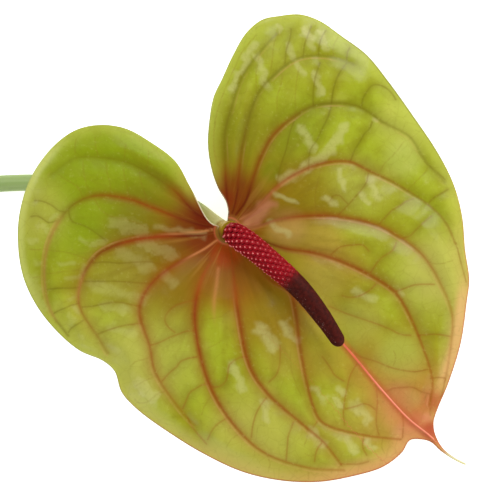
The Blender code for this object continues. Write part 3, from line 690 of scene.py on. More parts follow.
sheet = bpy.data.meshes.new("spathe")
plan = np.column_stack((flat, heights))
turned_over = np.cross(flat[faces[0, 1]] - flat[faces[0, 0]], flat[faces[0, 2]] - flat[faces[0, 0]]) < 0
sheet.from_pydata(on_table(plan).tolist(), [], (faces[:, ::-1] if turned_over else faces).tolist())
spathe = new_piece("spathe", sheet)
wall = spathe.modifiers.new("thickness", "SOLIDIFY")
wall.thickness = BLADE_THICKNESS * MM
wall.offset = -1  # down from the sheet, so that the upper side keeps its height
bpy.ops.object.modifier_apply(modifier=wall.name)
bpy.ops.object.shade_smooth()
blade_measures = {
    "vein_side": vein_side, "to_main": to_main, "vein_width": vein_width, "vein_red": vein_red,
    "vein_depth": vein_depth, "vein_glow": vein_glow, "painted_sheen": painted_sheen, "pale_start": pale_start,
    "pink_stroke": pink_stroke, "to_cross": to_cross, "to_faint": to_faint, "rib_side": rib_side,
    "to_rim": to_rim,
}
write_measures(spathe.data, {name: np.tile(values, 2) for name, values in blade_measures.items()})
write_measures(spathe.data, {"underside": np.repeat((0.0, 1.0), len(flat))})
spathe.data.attributes.new("plan", "FLOAT_VECTOR", "POINT").data.foreach_set(
    "vector", np.tile(plan, (2, 1)).astype(np.float32).ravel()
)
finish_piece(spathe, "spathe_blade")
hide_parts("spathe")
print("spathe triangles:", triangle_count(spathe))

# %% [markdown]
# ## The spadix
#
# The spike is a bent taper covered with florets, each a low dome with its stigma on it as a bead. They
# sit where two sets of spirals cross, fifteen one way and eleven the other. They are alike, so one is
# modelled from two spheres and copied to each crossing, narrower where the spike is thinner. The far half
# has not opened: there the florets lie almost flat, which only needs the same copies pressed down.

# %% The core of the spike: a tube with its own radius at each point
SPADIX_AXIS = [
    (1.3, -0.5, 2.6), (2.9, -1.5, 5.4), (6.8, -4.2, 8.2), (15.0, -11.0, 11.2), (24.0, -19.3, 13.4),
    (31.5, -28.8, 14.6), (37.4, -37.8, 14.6),
]
SPADIX_RADII = [
    (0.0, 3.3), (0.05, 3.85), (0.12, 4.0), (0.3, 3.8), (0.55, 3.5), (0.78, 3.0), (0.93, 2.5), (1.0, 2.3),
]
TIP_CAP = 2.9  # the rounded end
DARK_FROM, DARK_SOFT = 0.5, 0.05  # the share of its length where the florets are unopened, and how sharply
CORE_UNDER = 0.45  # how far the core stays under the open florets
THINNEST = 0.05  # at its end, where a tube of no width would fold up
CORE_FOOT = (0.5, -0.2, 0.6)  # inside the stipe, so that no gap shows under the spike
AXIS_SPACING, RING_SPACING, CORE_SIDES = 0.4, 0.5, 32


def make_tube(name, points, radii, sides):
    """A closed tube along points on the table, in millimetres, made as a curve and turned into a mesh."""
    leave_nothing_selected()
    bpy.ops.curve.primitive_nurbs_path_add(location=(0, 0, 0))
    tube = bpy.context.object
    tube.data.splines.clear()
    spline = tube.data.splines.new("POLY")
    spline.points.add(len(points) - 1)
    for target, place, radius in zip(spline.points, points, radii):
        target.co = (*(Vector(place) * MM), 1)
        target.radius = radius
    tube.data.bevel_depth = MM
    tube.data.bevel_resolution = sides // 2 - 2
    tube.data.use_fill_caps = True
    bpy.ops.object.convert(target="MESH")
    tube.name = name
    bpy.ops.object.mode_set(mode="EDIT")
    bpy.ops.mesh.select_all(action="SELECT")
    bpy.ops.mesh.remove_doubles(threshold=0.00001)
    bpy.ops.mesh.normals_make_consistent(inside=False)
    bpy.ops.object.mode_set(mode="OBJECT")
    bpy.ops.object.shade_smooth()
    return tube


def spadix_radius(stations, length):
    """Half width of the spike, drawn in to a round end over its last few millimetres."""
    cap = np.clip((stations - (length - TIP_CAP)) / TIP_CAP, 0, 1)
    return np.interp(stations / length, *zip(*SPADIX_RADII)) * np.sqrt(1 - cap**2)


def unopened(share):
    return smooth_step(share, DARK_FROM - DARK_SOFT, DARK_FROM + DARK_SOFT)


axis = smooth_line(SPADIX_AXIS, AXIS_SPACING)
axis_along = lengths_along(axis)
spike_length = axis_along[-1]
cap_stations = spike_length - TIP_CAP * (1 - np.sin(np.radians(range(0, 90, 9))))  # closer to the end
core_stations = np.concatenate((np.arange(0, spike_length - TIP_CAP, RING_SPACING), cap_stations))
core_line = places_along(axis, core_stations)
core_line[0] = CORE_FOOT
core_radii = spadix_radius(core_stations, spike_length)
core_radii = np.maximum(core_radii - CORE_UNDER * (core_stations < DARK_FROM * spike_length), THINNEST)
core = make_tube("spadix_core", on_table(core_line) / MM, core_radii, CORE_SIDES)
print("spadix length (mm):", round(spike_length, 1))

# %% One floret: a low dome with the stigma standing on it as a bead
DOME = (1.32, 1.05, 0.62)
STIGMA_RADIUS, STIGMA_STANDS = 0.36, 0.54
leave_nothing_selected()
bpy.ops.mesh.primitive_uv_sphere_add(segments=8, ring_count=4, radius=1)
floret = bpy.context.object
bpy.ops.object.mode_set(mode="EDIT")
bpy.ops.mesh.select_all(action="SELECT")
bpy.ops.transform.resize(value=DOME)
bpy.ops.mesh.select_all(action="DESELECT")
bpy.ops.object.mode_set(mode="OBJECT")
dome_count = len(floret.data.vertices)
bpy.ops.object.mode_set(mode="EDIT")
bpy.ops.mesh.primitive_uv_sphere_add(
    segments=6, ring_count=4, radius=STIGMA_RADIUS, location=(0, 0, STIGMA_STANDS)
)
bpy.ops.object.mode_set(mode="OBJECT")
floret_shape = np.array([v.co[:] for v in floret.data.vertices])
floret_faces = [tuple(face.vertices) for face in floret.data.polygons]
on_stigma = np.arange(len(floret_shape)) >= dome_count
print("floret faces:", len(floret_faces))

# %% The places of the florets
SPIRALS_ONE_WAY, SPIRALS_OTHER_WAY = 15, 11
STEP_ALONG = 1.37  # from a floret to the next one on the first set of spirals
STEP_ALONG_OTHER = STEP_ALONG * SPIRALS_ONE_WAY / SPIRALS_OTHER_WAY
STEP_ROUND = math.radians(13.85)
STEP_ROUND_OTHER = -(2 * math.pi - SPIRALS_ONE_WAY * STEP_ROUND) / SPIRALS_OTHER_WAY
STEPS_TRIED = range(-30, 60)  # reaches past both ends of the spike
FIRST_STATION = 0.6
SHADED_SIDE = (-0.62, -0.75, 0.2)  # the side of the spike that looks away from the light


def square_directions(line):
    """At each point of a line, two directions square to it that turn with it but do not twist."""
    ahead = np.gradient(line, axis=0)
    ahead /= np.linalg.norm(ahead, axis=1)[:, None]
    side = np.cross(ahead[0], (0.0, 0.0, 1.0))
    sides = []
    for direction in ahead:
        side = side - direction * (side @ direction)
        side /= np.linalg.norm(side)
        sides.append(side)
    sides = np.array(sides)
    return sides, np.cross(sides, ahead)


def at_station(values, wanted):
    return np.column_stack([np.interp(wanted, axis_along, values[:, k]) for k in range(3)])


crossings = []
for n in range(SPIRALS_OTHER_WAY):
    for m in STEPS_TRIED:
        station = STEP_ALONG * m + STEP_ALONG_OTHER * n
        if FIRST_STATION < station < spike_length - TIP_CAP:
            crossings.append((station, STEP_ROUND * m + STEP_ROUND_OTHER * n))
floret_stations, floret_turns = np.array(crossings).T
order = np.argsort(floret_stations)
floret_stations, floret_turns = floret_stations[order], floret_turns[order]
axis_sides, axis_ups = square_directions(axis)
centres = at_station(axis, floret_stations)
sides, ups = at_station(axis_sides, floret_stations), at_station(axis_ups, floret_stations)
outward = np.cos(floret_turns)[:, None] * sides + np.sin(floret_turns)[:, None] * ups
around = -np.sin(floret_turns)[:, None] * sides + np.cos(floret_turns)[:, None] * ups
forward = np.cross(around, outward)
print("florets:", len(centres))

# %% Copy the floret to each place
FLORET_FITS = 3.8  # the half width of the spike on which a floret is as wide as it was modelled
BEAD_SIZES, BEAD_LOSS = (0.85, 1.1), 0.5  # each stigma has its own size, less towards the tip
LIT_HEIGHT, LIT_SINK = 0.5, 0.4  # shares of the full height and sinking that are left on the lit side
UNOPENED_LOSS, UNOPENED_SINK = 0.75, 0.16
SIDE_EDGE = (-0.3, 0.8)
floret_shares = floret_stations / spike_length
floret_dark = unopened(floret_shares)
radii = spadix_radius(floret_stations, spike_length)
sizes = radii / FLORET_FITS
shrink = np.random.default_rng(4).uniform(*BEAD_SIZES, len(centres))
turned_down = smooth_step(outward @ SHADED_SIDE, *SIDE_EDGE)
bulge = (1 - UNOPENED_LOSS * floret_dark) * (LIT_HEIGHT + (1 - LIT_HEIGHT) * turned_down)
sunk = CORE_UNDER * (1 - floret_dark) * (LIT_SINK + (1 - LIT_SINK) * turned_down)
stand_off = radii - sunk - UNOPENED_SINK * floret_dark
corners = []
for k in range(len(centres)):
    shape = floret_shape * (1, sizes[k], bulge[k])
    middle = (0, 0, STIGMA_STANDS * bulge[k])
    bead = (shape[on_stigma] - middle) * shrink[k] * (1 - BEAD_LOSS * floret_shares[k])
    shape[on_stigma] = bead + middle
    spot = centres[k] + outward[k] * stand_off[k]
    corners.append(spot + shape[:, :1] * forward[k] + shape[:, 1:2] * around[k] + shape[:, 2:] * outward[k])
florets = bpy.data.meshes.new("florets")
step = len(floret_shape)
florets.from_pydata(
    on_table(np.vstack(corners)).tolist(), [],
    [tuple(v + k * step for v in face) for k in range(len(centres)) for face in floret_faces],
)

# %% Write down what their colours need, and join them to the core
# Stigmas show paler on the side away from the key, partly their own pink and partly a painted pinkish
# reflection, and less towards the tip.
stigma_show = (0.45 + 0.55 * turned_down) * (1 - 0.4 * smooth_step(floret_shares, 0.15, 0.5))
risen = np.where(on_stigma, 1, floret_shape[:, 2] / DOME[2])  # 0 at the foot of a dome, 1 at its top
write_measures(florets, {
    "unopened": np.repeat(floret_dark, step),
    "turned_down": np.repeat(turned_down, step),
    "stigma": np.outer(stigma_show, on_stigma).ravel(),
    "risen": np.tile(risen, len(centres)),
})
core_points = np.array([v.co[:] for v in core.data.vertices]) / MM
gaps = np.linalg.norm(core_points[:, None, :] - (on_table(axis) / MM)[None, :, :], axis=2)
core_measures = {
    "unopened": unopened(axis_along[gaps.argmin(axis=1)] / spike_length),
    "turned_down": 0.5, "stigma": 0.0, "risen": 0.0,
}
write_measures(core.data, {name: np.full(len(gaps), value) for name, value in core_measures.items()})
bpy.data.objects.remove(floret)
spadix = new_piece("spadix", florets)
core.select_set(True)
bpy.ops.object.join()
bpy.ops.object.shade_smooth()
finish_piece(spadix, "spadix_spike")
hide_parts("spadix")
print("spadix triangles:", triangle_count(spadix))

# %% [markdown]
# ## The peduncle
#
# The stalk leaves the back of the flower, bends down to the table and trails off to its cut end. It is a
# tube with its own width at each point, swollen into the stipe where the flower sits on it, and cut off
# aslant, as a florist cuts it so that it can drink. The cut shows a thin skin round a pale pith.

# %% The route from the seat to the cut end
STIPE_ROUTE = [(1.0, -0.4, 1.95), (0.0, 0.0, -0.5), (-1.6, 0.8, -4.2), (-5.4, 3.4, -9.6), (-11.3, 7.8, -15.0)]
BEND_ROUTE = [(-28.5, 12.6, -15.9), (-44.0, 15.6, -18.6)]
TABLE_ROUTE = [  # across the table from the seat, where the stalk lies on it
    (-62.0, 17.0), (-90.0, 17.0), (-125.0, 13.5), (-170.0, 8.0), (-225.0, 2.5), (-285.0, 0.0), (-338.0, 1.0),
]
STIPE_RADIUS, NECK_RADIUS, CUT_RADIUS = 3.7, 2.7, 3.4
STIPE_FULL, STIPE_LENGTH = 1.6, 6.5
FINE_UP_TO, FINE_STEP, LONG_STEP = 30, 1.0, 2.5  # rings lie closer where the stalk bends at the flower
ROUTE_SPACING, STALK_SIDES = 0.5, 28
rough = [tuple(FACE_TURN @ Vector(p)) for p in STIPE_ROUTE] + BEND_ROUTE
for x, y in TABLE_ROUTE:
    radius = NECK_RADIUS + (CUT_RADIUS - NECK_RADIUS) * x / TABLE_ROUTE[-1][0]
    rough.append((x, y, radius - SEAT.z))
route = smooth_line(rough, ROUTE_SPACING)
stalk_length = lengths_along(route)[-1]
long_count = round((stalk_length - FINE_UP_TO) / LONG_STEP)
long_rings = np.linspace(FINE_UP_TO, stalk_length, long_count)
rings = np.concatenate((np.arange(0, FINE_UP_TO, FINE_STEP), long_rings))
ring_places = places_along(route, rings)
widths = NECK_RADIUS + (CUT_RADIUS - NECK_RADIUS) * rings / stalk_length
widths += (STIPE_RADIUS - NECK_RADIUS) * (1 - smooth_step(rings, STIPE_FULL, STIPE_LENGTH))
ring_places[:, 2] = np.maximum(ring_places[:, 2], widths - SEAT.z)
ring_places += np.array(SEAT)
peduncle = make_tube("peduncle", ring_places, widths, STALK_SIDES)
print("stalk length (mm):", round(stalk_length))

# %% The slanted cut
CUT_SLANT = math.radians(40)
CUT_BACK = 1.2  # the middle of the cut lies this many half slants before the tube's end
SKIN_THICKNESS = 0.45
end = Vector(ring_places[-1])
back = Vector(ring_places[-2] - ring_places[-1]).normalized()
slant = Euler((0, CUT_SLANT, 0)).to_matrix() @ back
cut_middle = end + back * (CUT_BACK * CUT_RADIUS * math.tan(CUT_SLANT))
leave_nothing_selected()
bpy.context.view_layer.objects.active = peduncle
peduncle.select_set(True)
bpy.ops.object.shade_smooth_by_angle(angle=CUT_SLANT)
bpy.ops.object.mode_set(mode="EDIT")
bpy.ops.mesh.select_all(action="SELECT")
bpy.ops.mesh.bisect(plane_co=cut_middle * MM, plane_no=-slant, use_fill=True, clear_outer=True)
bpy.ops.mesh.select_mode(type="FACE")
bpy.ops.mesh.inset(thickness=SKIN_THICKNESS * MM)
bpy.ops.mesh.faces_shade_flat()
bpy.ops.object.mode_set(mode="OBJECT")
on_cut = [float(face.select) for face in peduncle.data.polygons]
peduncle.data.attributes.new("cut_face", "FLOAT", "FACE").data.foreach_set("value", on_cut)
print("faces on the cut:", int(sum(on_cut)), "of", len(on_cut))
finish_piece(peduncle, "peduncle_stalk")
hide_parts("peduncle")
print("peduncle triangles:", triangle_count(peduncle))

# %% [markdown]
# ## A way to mix colours
#
# A material in Blender is a tree of nodes. Written out one by one they are hard to read, so a socket is
# wrapped in a small class that can be added and multiplied like a number, and each sum becomes a node.
# A finish keeps the colour it has so far, and one wash after another is laid over it, as in painting.

# %% Sockets as numbers
def colour(red, green, blue):
    """A colour read off with a picker, 0 to 255, as the linear light that a shader works with."""
    parts = [v / 255 for v in (red, green, blue)]
    return (*[v / 12.92 if v <= 0.04045 else ((v + 0.055) / 1.055) ** 2.4 for v in parts], 1)


class Wire:
    """A socket that can be used in sums."""

    def __init__(self, tree, socket):
        self.tree = tree
        self.socket = socket

    def sum(self, operation, *terms):
        node = self.tree.nodes.new("ShaderNodeMath")
        node.operation = operation
        for slot, term in zip(node.inputs, terms):
            if isinstance(term, Wire):
                self.tree.links.new(term.socket, slot)
            else:
                slot.default_value = term
        return Wire(self.tree, node.outputs[0])

    def __add__(self, other):
        return self.sum("ADD", self, other)

    def __radd__(self, other):
        return self.sum("ADD", other, self)

    def __sub__(self, other):
        return self.sum("SUBTRACT", self, other)

    def __rsub__(self, other):
        return self.sum("SUBTRACT", other, self)

    def __mul__(self, other):
        return self.sum("MULTIPLY", self, other)

    def __rmul__(self, other):
        return self.sum("MULTIPLY", other, self)

    def __truediv__(self, other):
        return self.sum("DIVIDE", self, other)


GRAIN_DEPTH, GRAIN_STRENGTH = 0.0001, 0.6


class Finish:
    """A material being mixed."""

    def __init__(self, name):
        self.material = bpy.data.materials.new(name)
        self.material.use_nodes = True
        self.tree = self.material.node_tree
        self.shader = self.tree.nodes["Principled BSDF"]
        self.tint = None

    def node(self, kind, settings=(), sockets=(), output=0):
        """Adds a node: its settings first, then a value or a wire for each socket named."""
        node = self.tree.nodes.new(kind)
        for name, value in dict(settings).items():
            setattr(node, name, value)
        for name, value in dict(sockets).items():
            if isinstance(value, Wire):
                self.tree.links.new(value.socket, node.inputs[name])
            else:
                node.inputs[name].default_value = value
        return Wire(self.tree, node.outputs[output])

    def measure(self, name, output="Fac"):
        return self.node("ShaderNodeAttribute", {"attribute_name": name}, output=output)

    def place(self):
        return self.node("ShaderNodeTexCoord", output="Object")

    def fade(self, value, low, high):
        """Goes smoothly from 0 to 1 while the value goes from low to high, which may lie below low."""
        sockets = {"Value": value, "From Min": low, "From Max": high}
        return self.node("ShaderNodeMapRange", {"interpolation_type": "SMOOTHSTEP"}, sockets)

    def mix(self, share, under, over):
        """Mixes two colours, each a wire or a picked red, green and blue."""
        under, over = [c if isinstance(c, Wire) else colour(*c) for c in (under, over)]
        return self.node("ShaderNodeMix", {"data_type": "RGBA"}, {0: share, 6: under, 7: over}, 2)

    def lay(self, share, over):
        """Lays a share of a colour over the tint so far."""
        self.tint = self.mix(share, self.tint, over)

    def noise(self, where, scale, detail=2.0, roughness=0.5):
        sockets = {"Vector": where, "Scale": scale, "Detail": detail, "Roughness": roughness}
        return self.node("ShaderNodeTexNoise", (), sockets, "Fac")

    def distance(self, where, spot):
        return self.node("ShaderNodeVectorMath", {"operation": "DISTANCE"}, {0: where, 1: spot}, "Value")

    def bump(self, height):
        sockets = {"Height": height, "Distance": GRAIN_DEPTH, "Strength": GRAIN_STRENGTH}
        return self.node("ShaderNodeBump", (), sockets)

    def wear(self, name, value):
        """Links a wire to a socket of the shader, or sets it where it is the same all over."""
        if isinstance(value, Wire):
            self.tree.links.new(value.socket, self.shader.inputs[name])
        else:
            self.shader.inputs[name].default_value = value

    def put_on(self, piece):
        piece.data.materials.clear()
        piece.data.materials.append(self.material)
        print(self.material.name, "on", piece.name, "with", len(self.tree.nodes), "nodes")


# %% [markdown]
# ## The colours of the spathe
#
# The blade is yellow-green wax. A red-brown blush soaks out from the seat and along the veins, the far
# margins turn peach, and fine darker veins cross the quilting. Most colours follow from how far a place is
# from the seat, the veins and the margin. What no rule gives, the warmer and paler areas that each flower
# has in its own places, is laid on as soft round washes, like watercolour. Some light and shade is painted
# in as well: a painted shadow below the spadix, painted shade in the grooves, and painted highlights as
# pale sheen on the wax, along the upper margins and the notch, beside the veins and on the midrib.

# %% Green wax, quilted
skin = Finish("spathe_wax")
plan_place = skin.measure("plan", "Vector")
flatten = {0: plan_place, 1: (1, 1, 0)}
flat_place = skin.node("ShaderNodeVectorMath", {"operation": "MULTIPLY"}, flatten, "Vector")
cross_vein = skin.measure("to_cross")
faint_vein = skin.measure("to_faint")
rim = skin.measure("to_rim")
main_side = skin.measure("vein_side")
main_vein = skin.measure("to_main")
rib = skin.measure("rib_side")
off_rib = rib.sum("ABSOLUTE", rib)
clouds = skin.noise(plan_place, 0.06, 3.0)
mottle = skin.noise(plan_place, 0.25, 3.0)


def from_spot(x, y):
    """How far each place is from a spot of the face, in millimetres."""
    return skin.distance(flat_place, (x, y, 0))


def near_spot(x, y, radius, soft=0.3):
    """1 at a spot of the face, 0 beyond the radius."""
    return skin.fade(from_spot(x, y), radius, radius * soft)


def lay_washes(washes, soft=0.3):
    """Lays soft round washes: where each is, its radius, its strength, and its red, green and blue."""
    for x, y, radius, strength, wash in washes:
        skin.lay(near_spot(x, y, radius, soft) * strength, wash)


reach = from_spot(0, 0)
unit = skin.node("ShaderNodeVectorMath", {"operation": "NORMALIZE"}, {0: flat_place}, "Vector")
outward_share = skin.node("ShaderNodeCombineXYZ", (), {"Z": reach * 0.05})
streak_sockets = {0: unit, 1: (9, 9, 0), 2: outward_share}
streak_place = skin.node("ShaderNodeVectorMath", {"operation": "MULTIPLY_ADD"}, streak_sockets, "Vector")
streaks = skin.noise(streak_place, 1.0, 3.0)  # they run out from the seat
fine = skin.noise(plan_place, 0.8, 4.0, 0.6)
any_vein = main_vein.sum("MINIMUM", main_vein, cross_vein * 1.4)
# Painted shade and light of the quilting: darker green in the grooves towards the veins, lighter on the
# pillow tops.
pillow_top = skin.fade(any_vein + 5 * (mottle - 0.5), 0.0, 5.5)
skin.tint = skin.mix(pillow_top, (142, 146, 18), (162, 172, 34))
patches = skin.noise(plan_place, 0.11, 2.0)
skin.lay(skin.fade(patches, 0.55, 0.75) * 0.5, (180, 184, 64))
skin.lay(skin.fade(patches, 0.45, 0.25) * 0.45, (136, 140, 16))
skin.lay(skin.fade(clouds, 0.35, 0.7) * 0.35, (156, 148, 30))
skin.lay(near_spot(-38, 14, 42) * 0.75, (128, 148, 6))

# %% Washes of brown and peach
WASHES = [
    # Painted shadow of the spadix, laid over the blade's own brown blush below it.
    (15, -25, 22, 0.8, (150, 110, 10)),
    (28, -38, 18, 0.35, (162, 130, 20)),
    (33, -12, 16, 0.5, (182, 150, 52)),
    (0, -14, 17, 0.65, (158, 84, 8)),
    (8, 24, 26, 0.6, (124, 110, 4)),
    (20, 33, 12, 0.5, (130, 138, 12)),
    (-4, 30, 16, 0.4, (128, 130, 16)),
    (58, -52, 30, 0.5, (174, 132, 44)),
    (45, -44, 12, 0.3, (176, 116, 40)),
    (57, -42, 12, 0.6, (174, 180, 74)),
    (57, -56, 8, 0.4, (197, 150, 100)),
    (64, -62, 24, 0.45, (200, 118, 70)),
    (70, -58, 9, 0.6, (176, 66, 40)),
    (62, -68, 9, 0.6, (222, 134, 108)),
    (-18, -12, 28, 0.75, (132, 90, 6)),
    (-33, -6, 16, 0.6, (138, 120, 22)),
    (-47, -17, 13, 0.4, (150, 126, 32)),
    (-35, -20, 14, 0.4, (162, 154, 56)),
    (-26, 5, 20, 0.6, (112, 98, 2)),
    (25, 9, 19, 0.75, (136, 106, 6)),
    (36, -14, 20, 0.3, (168, 136, 38)),
    (70, -14, 20, 0.5, (200, 190, 100)),
    (58, 36, 14, 0.4, (194, 196, 90)),
    (57, 3, 13, 0.4, (150, 148, 20)),
    (58, 24, 9, 0.35, (187, 194, 103)),
    (44, 15, 14, 0.3, (182, 172, 84)),
    (-52, -30, 13, 0.5, (184, 182, 66)),
    (79, -32, 9, 0.3, (224, 188, 124)),
    (68, -29, 9, 0.35, (152, 147, 36)),
    (31, -29, 10, 0.5, (190, 164, 70)),
    (44, -30, 11, 0.4, (186, 172, 80)),
    (31, -43, 10, 0.4, (185, 156, 54)),
    (31, -16, 10, 0.4, (178, 160, 66)),
    (-23, -43, 22, 0.4, (178, 170, 80)),
    (25, 37, 14, 0.35, (130, 144, 14)),
    (31, -4, 10, 0.4, (190, 154, 64)),
    (18, -42, 10, 0.4, (178, 160, 56)),
    (18, 64, 16, 0.2, (184, 186, 84)),
    (40, -72, 26, 0.3, (190, 170, 74)),
    (8, -70, 24, 0.6, (190, 182, 82)),
    (-38, -46, 24, 0.5, (184, 180, 84)),
    (-64, 6, 16, 0.55, (184, 180, 76)),
]
lay_washes(WASHES)
skin.lay(skin.fade(streaks, 0.55, 0.3) * skin.fade(reach, 75, 30) * 0.3, (118, 92, 6))
low_side = skin.fade(from_spot(-20, 45), 85, 130)
low_margin = low_side * skin.fade(rim + 4 * clouds, 9, 1)
skin.lay(low_margin * 0.8, (206, 176, 88))
skin.lay(low_margin * near_spot(50, -85, 40, 0.2) * 0.8, (214, 150, 96))
TIP_WASHES = [
    (61, -56, 4.5, 0.6, (182, 148, 74)),
    (62.5, -62, 4, 0.5, (190, 104, 64)),
    (69.5, -57, 5.5, 0.7, (184, 88, 50)),
    (67.3, -66, 4.5, 0.9, (166, 56, 32)),
    (66.2, -62, 2.4, 0.5, (214, 138, 104)),
    (55, -63, 5, 0.4, (196, 150, 84)),
]
lay_washes(TIP_WASHES, soft=0.2)
peach_rim = skin.fade(rim, 5, 2) * near_spot(80, -36, 24, 0.5)
skin.lay(peach_rim * 0.7, (228, 176, 114))
high_side = 1 - low_side
# Painted highlight: a paler band along the upper margins, and a brighter rim on the left lobe.
skin.lay(high_side * skin.fade(rim + 3 * clouds, 7, 1) * 0.55, (186, 192, 78))
skin.lay(high_side * skin.fade(rim, 3.2, 1) * near_spot(-72, 6, 34, 0.6) * 0.5, (206, 210, 116))

# %% Blush round the seat
blush = skin.fade(reach + 9 * clouds, 36, 12)
skin.lay(blush * 0.55, (138, 70, 4))
heart = skin.fade(reach + 3 * clouds, 20, 8)
skin.lay(heart * 0.6, (140, 52, 2))
SEAT_WASHES = [
    (-9, 1.5, 14, 0.85, (112, 32, 0)),
    (-15, -4, 12, 0.5, (112, 68, 0)),
    (3, 12, 11.5, 0.75, (114, 38, 0)),
    (-0.5, -7.5, 7, 0.5, (190, 66, 10)),
    (-1, 11, 4.5, 0.5, (122, 30, 0)),
    (13, 9.5, 4.5, 0.4, (138, 66, 8)),
    (20, 0.5, 9, 0.6, (196, 156, 82)),
    (14.7, 19.7, 5, 0.4, (100, 118, 0)),
    (-8.5, 3.5, 5, 0.5, (100, 4, 0)),
    (-9.3, -3, 6, 0.35, (122, 30, 0)),
    (-16, -16, 12, 0.35, (128, 95, 10)),
]
lay_washes(SEAT_WASHES)
skin.lay(skin.measure("pink_stroke") * (0.25 + 0.6 * streaks), (210, 136, 104))
skin.lay(skin.fade(streaks, 0.5, 0.75) * skin.fade(reach, 34, 14) * 0.35, (172, 130, 50))

# %% Painted sheen and veins
ragged_sheen = skin.measure("painted_sheen") * (0.4 + 0.9 * fine + 0.6 * streaks)
fainter_sheen_left = 1 - 0.55 * near_spot(-35, -5, 50, 0.7)
sheen_share = skin.fade(ragged_sheen, 0.1, 1.3) * fainter_sheen_left
# Painted highlight: the sheen strokes, frayed by noise and fainter on the left lobe, laid on as pale colour.
skin.lay(sheen_share * 0.42, (202, 198, 128))
low_warmth = skin.fade(from_spot(34, -64), 95, 55)
line_share = 0.4 + 0.8 * mottle
cross_colour = skin.mix(low_warmth, (110, 94, 0), (146, 84, 14))
skin.lay(skin.fade(cross_vein, 1.3, 0.1) * 0.14 * line_share, cross_colour)
skin.lay(skin.fade(cross_vein, 0.45, 0.1) * 0.42 * line_share, cross_colour)
skin.lay(skin.fade(faint_vein, 0.45, 0.1) * 0.3 * line_share, (132, 98, 18))
net_sockets = {"Vector": plan_place, "Scale": 0.22}
net = skin.node("ShaderNodeTexVoronoi", {"feature": "DISTANCE_TO_EDGE"}, net_sockets)
skin.lay(skin.fade(net, 0.06, 0.0) * 0.1 * skin.fade(reach, 20, 40), (122, 104, 14))
warm = skin.measure("vein_red")
skin.lay(skin.measure("vein_glow") * 0.6, (156, 82, 18))
far_colour = skin.mix(low_warmth, (108, 96, 4), (156, 92, 20))
line_colour = skin.mix(warm, far_colour, (138, 46, 2))
line_colour = skin.mix(skin.fade(reach, 24, 12), line_colour, (96, 24, 0))
line_colour = skin.mix(near_spot(9, 24, 14) * 0.6, line_colour, (118, 70, 6))
line_colour = skin.mix(near_spot(-64, -12, 22, 0.7) * 0.8, line_colour, (180, 118, 66))
line_colour = skin.mix(near_spot(-43, -9, 11, 0.5) * 0.7, line_colour, (112, 34, 0))
line_colour = skin.mix(near_spot(-1, -13, 15, 0.6) * 0.8, line_colour, (160, 80, 14))
in_vein = (main_vein + 0.5 * (fine - 0.5)) / skin.measure("vein_width")
depth = skin.measure("vein_depth") * (0.7 + 0.6 * mottle)
skin.lay(skin.fade(in_vein, 2.0, 0.0) * depth, line_colour)
skin.lay(skin.fade(main_vein, 0.5, 0.1) * depth * 0.6, line_colour)
# Painted highlight along one side of each vein's groove, where its slope faces the light.
vein_highlight_edge = main_side.sum("ABSOLUTE", main_side + 0.9)
by_vein = skin.fade(main_vein, 1.6, 1.2) * skin.fade(clouds, 0.4, 0.6) * skin.fade(reach, 16, 36)
by_vein = by_vein * (1 - near_spot(-40, 20, 24, 0.7))
skin.lay(skin.fade(vein_highlight_edge, 0.5, 0.05) * 0.22 * by_vein, (216, 156, 100))
# Pale vein starts, partly painted highlight.
skin.lay(skin.measure("pale_start"), (216, 142, 84))

# %% The collar and the midrib
skin.lay(skin.fade(reach, 5.1, 4.4) * 0.5, (206, 104, 62))
skin.lay(skin.fade(reach, 4.5, 4.0) * 0.85, (126, 92, 22))
skin.lay(skin.fade(off_rib, 9, 1) * skin.fade(reach, 55, 85) * 0.4, (204, 106, 70))
beside_rib = skin.fade(off_rib, 2.4, 0.4) * skin.fade(reach, 14, 40)
skin.lay(beside_rib * 0.55, (182, 80, 44))
skin.lay(skin.fade(off_rib, 0.45, 0.2) * skin.fade(reach, 38, 50), (228, 112, 78))
# Painted highlight along the top of the raised midrib.
rib_highlight = rib.sum("ABSOLUTE", rib - 0.1)
skin.lay(skin.fade(rib_highlight, 0.3, 0.05) * skin.fade(reach, 60, 75) * 0.7, (252, 172, 140))

# %% The margin's edge, the tip thread and the fine grain
edge = skin.fade(rim, 0.6, 0.1)
skin.lay(edge * low_side * 0.75, (190, 92, 56))
skin.lay(edge * near_spot(56, 46, 42) * 0.6, (112, 104, 26))
# Painted highlight along the inner edge of the left lobe at the notch, where its thickness catches the light.
lit_inner_edge = skin.fade(rim, 0.5, 0.15) * near_spot(-6.5, 7.5, 8, 0.6)
skin.lay(lit_inner_edge * 0.9, (238, 228, 186))
thread = skin.fade(from_spot(60, -62), 14, 20)
thread = thread * low_side * skin.fade(from_spot(79, -77.5), 13, 7)
skin.lay(thread, (228, 220, 168))
skin.lay(skin.fade(fine, 0.45, 0.25) * 0.16, (96, 84, 0))
skin.lay(skin.fade(fine, 0.55, 0.75) * skin.fade(reach, 18, 40) * 0.14, (206, 204, 110))

# %% The duller underside
under = skin.mix(skin.fade(clouds, 0.35, 0.65), (150, 160, 76), (164, 168, 88))
under = skin.mix(skin.fade(cross_vein, 0.5, 0.1) * 0.35, under, (122, 124, 50))
under = skin.mix(skin.fade(main_vein, 1.3, 0.3) * 0.6, under, (134, 116, 56))
under = skin.mix(skin.fade(off_rib, 1.2, 0.3) * 0.7, under, (150, 112, 66))
under = skin.mix(skin.fade(reach, 26, 6) * 0.6, under, (140, 100, 50))
skin.lay(skin.measure("underside"), under)
skin.wear("Base Color", skin.tint)

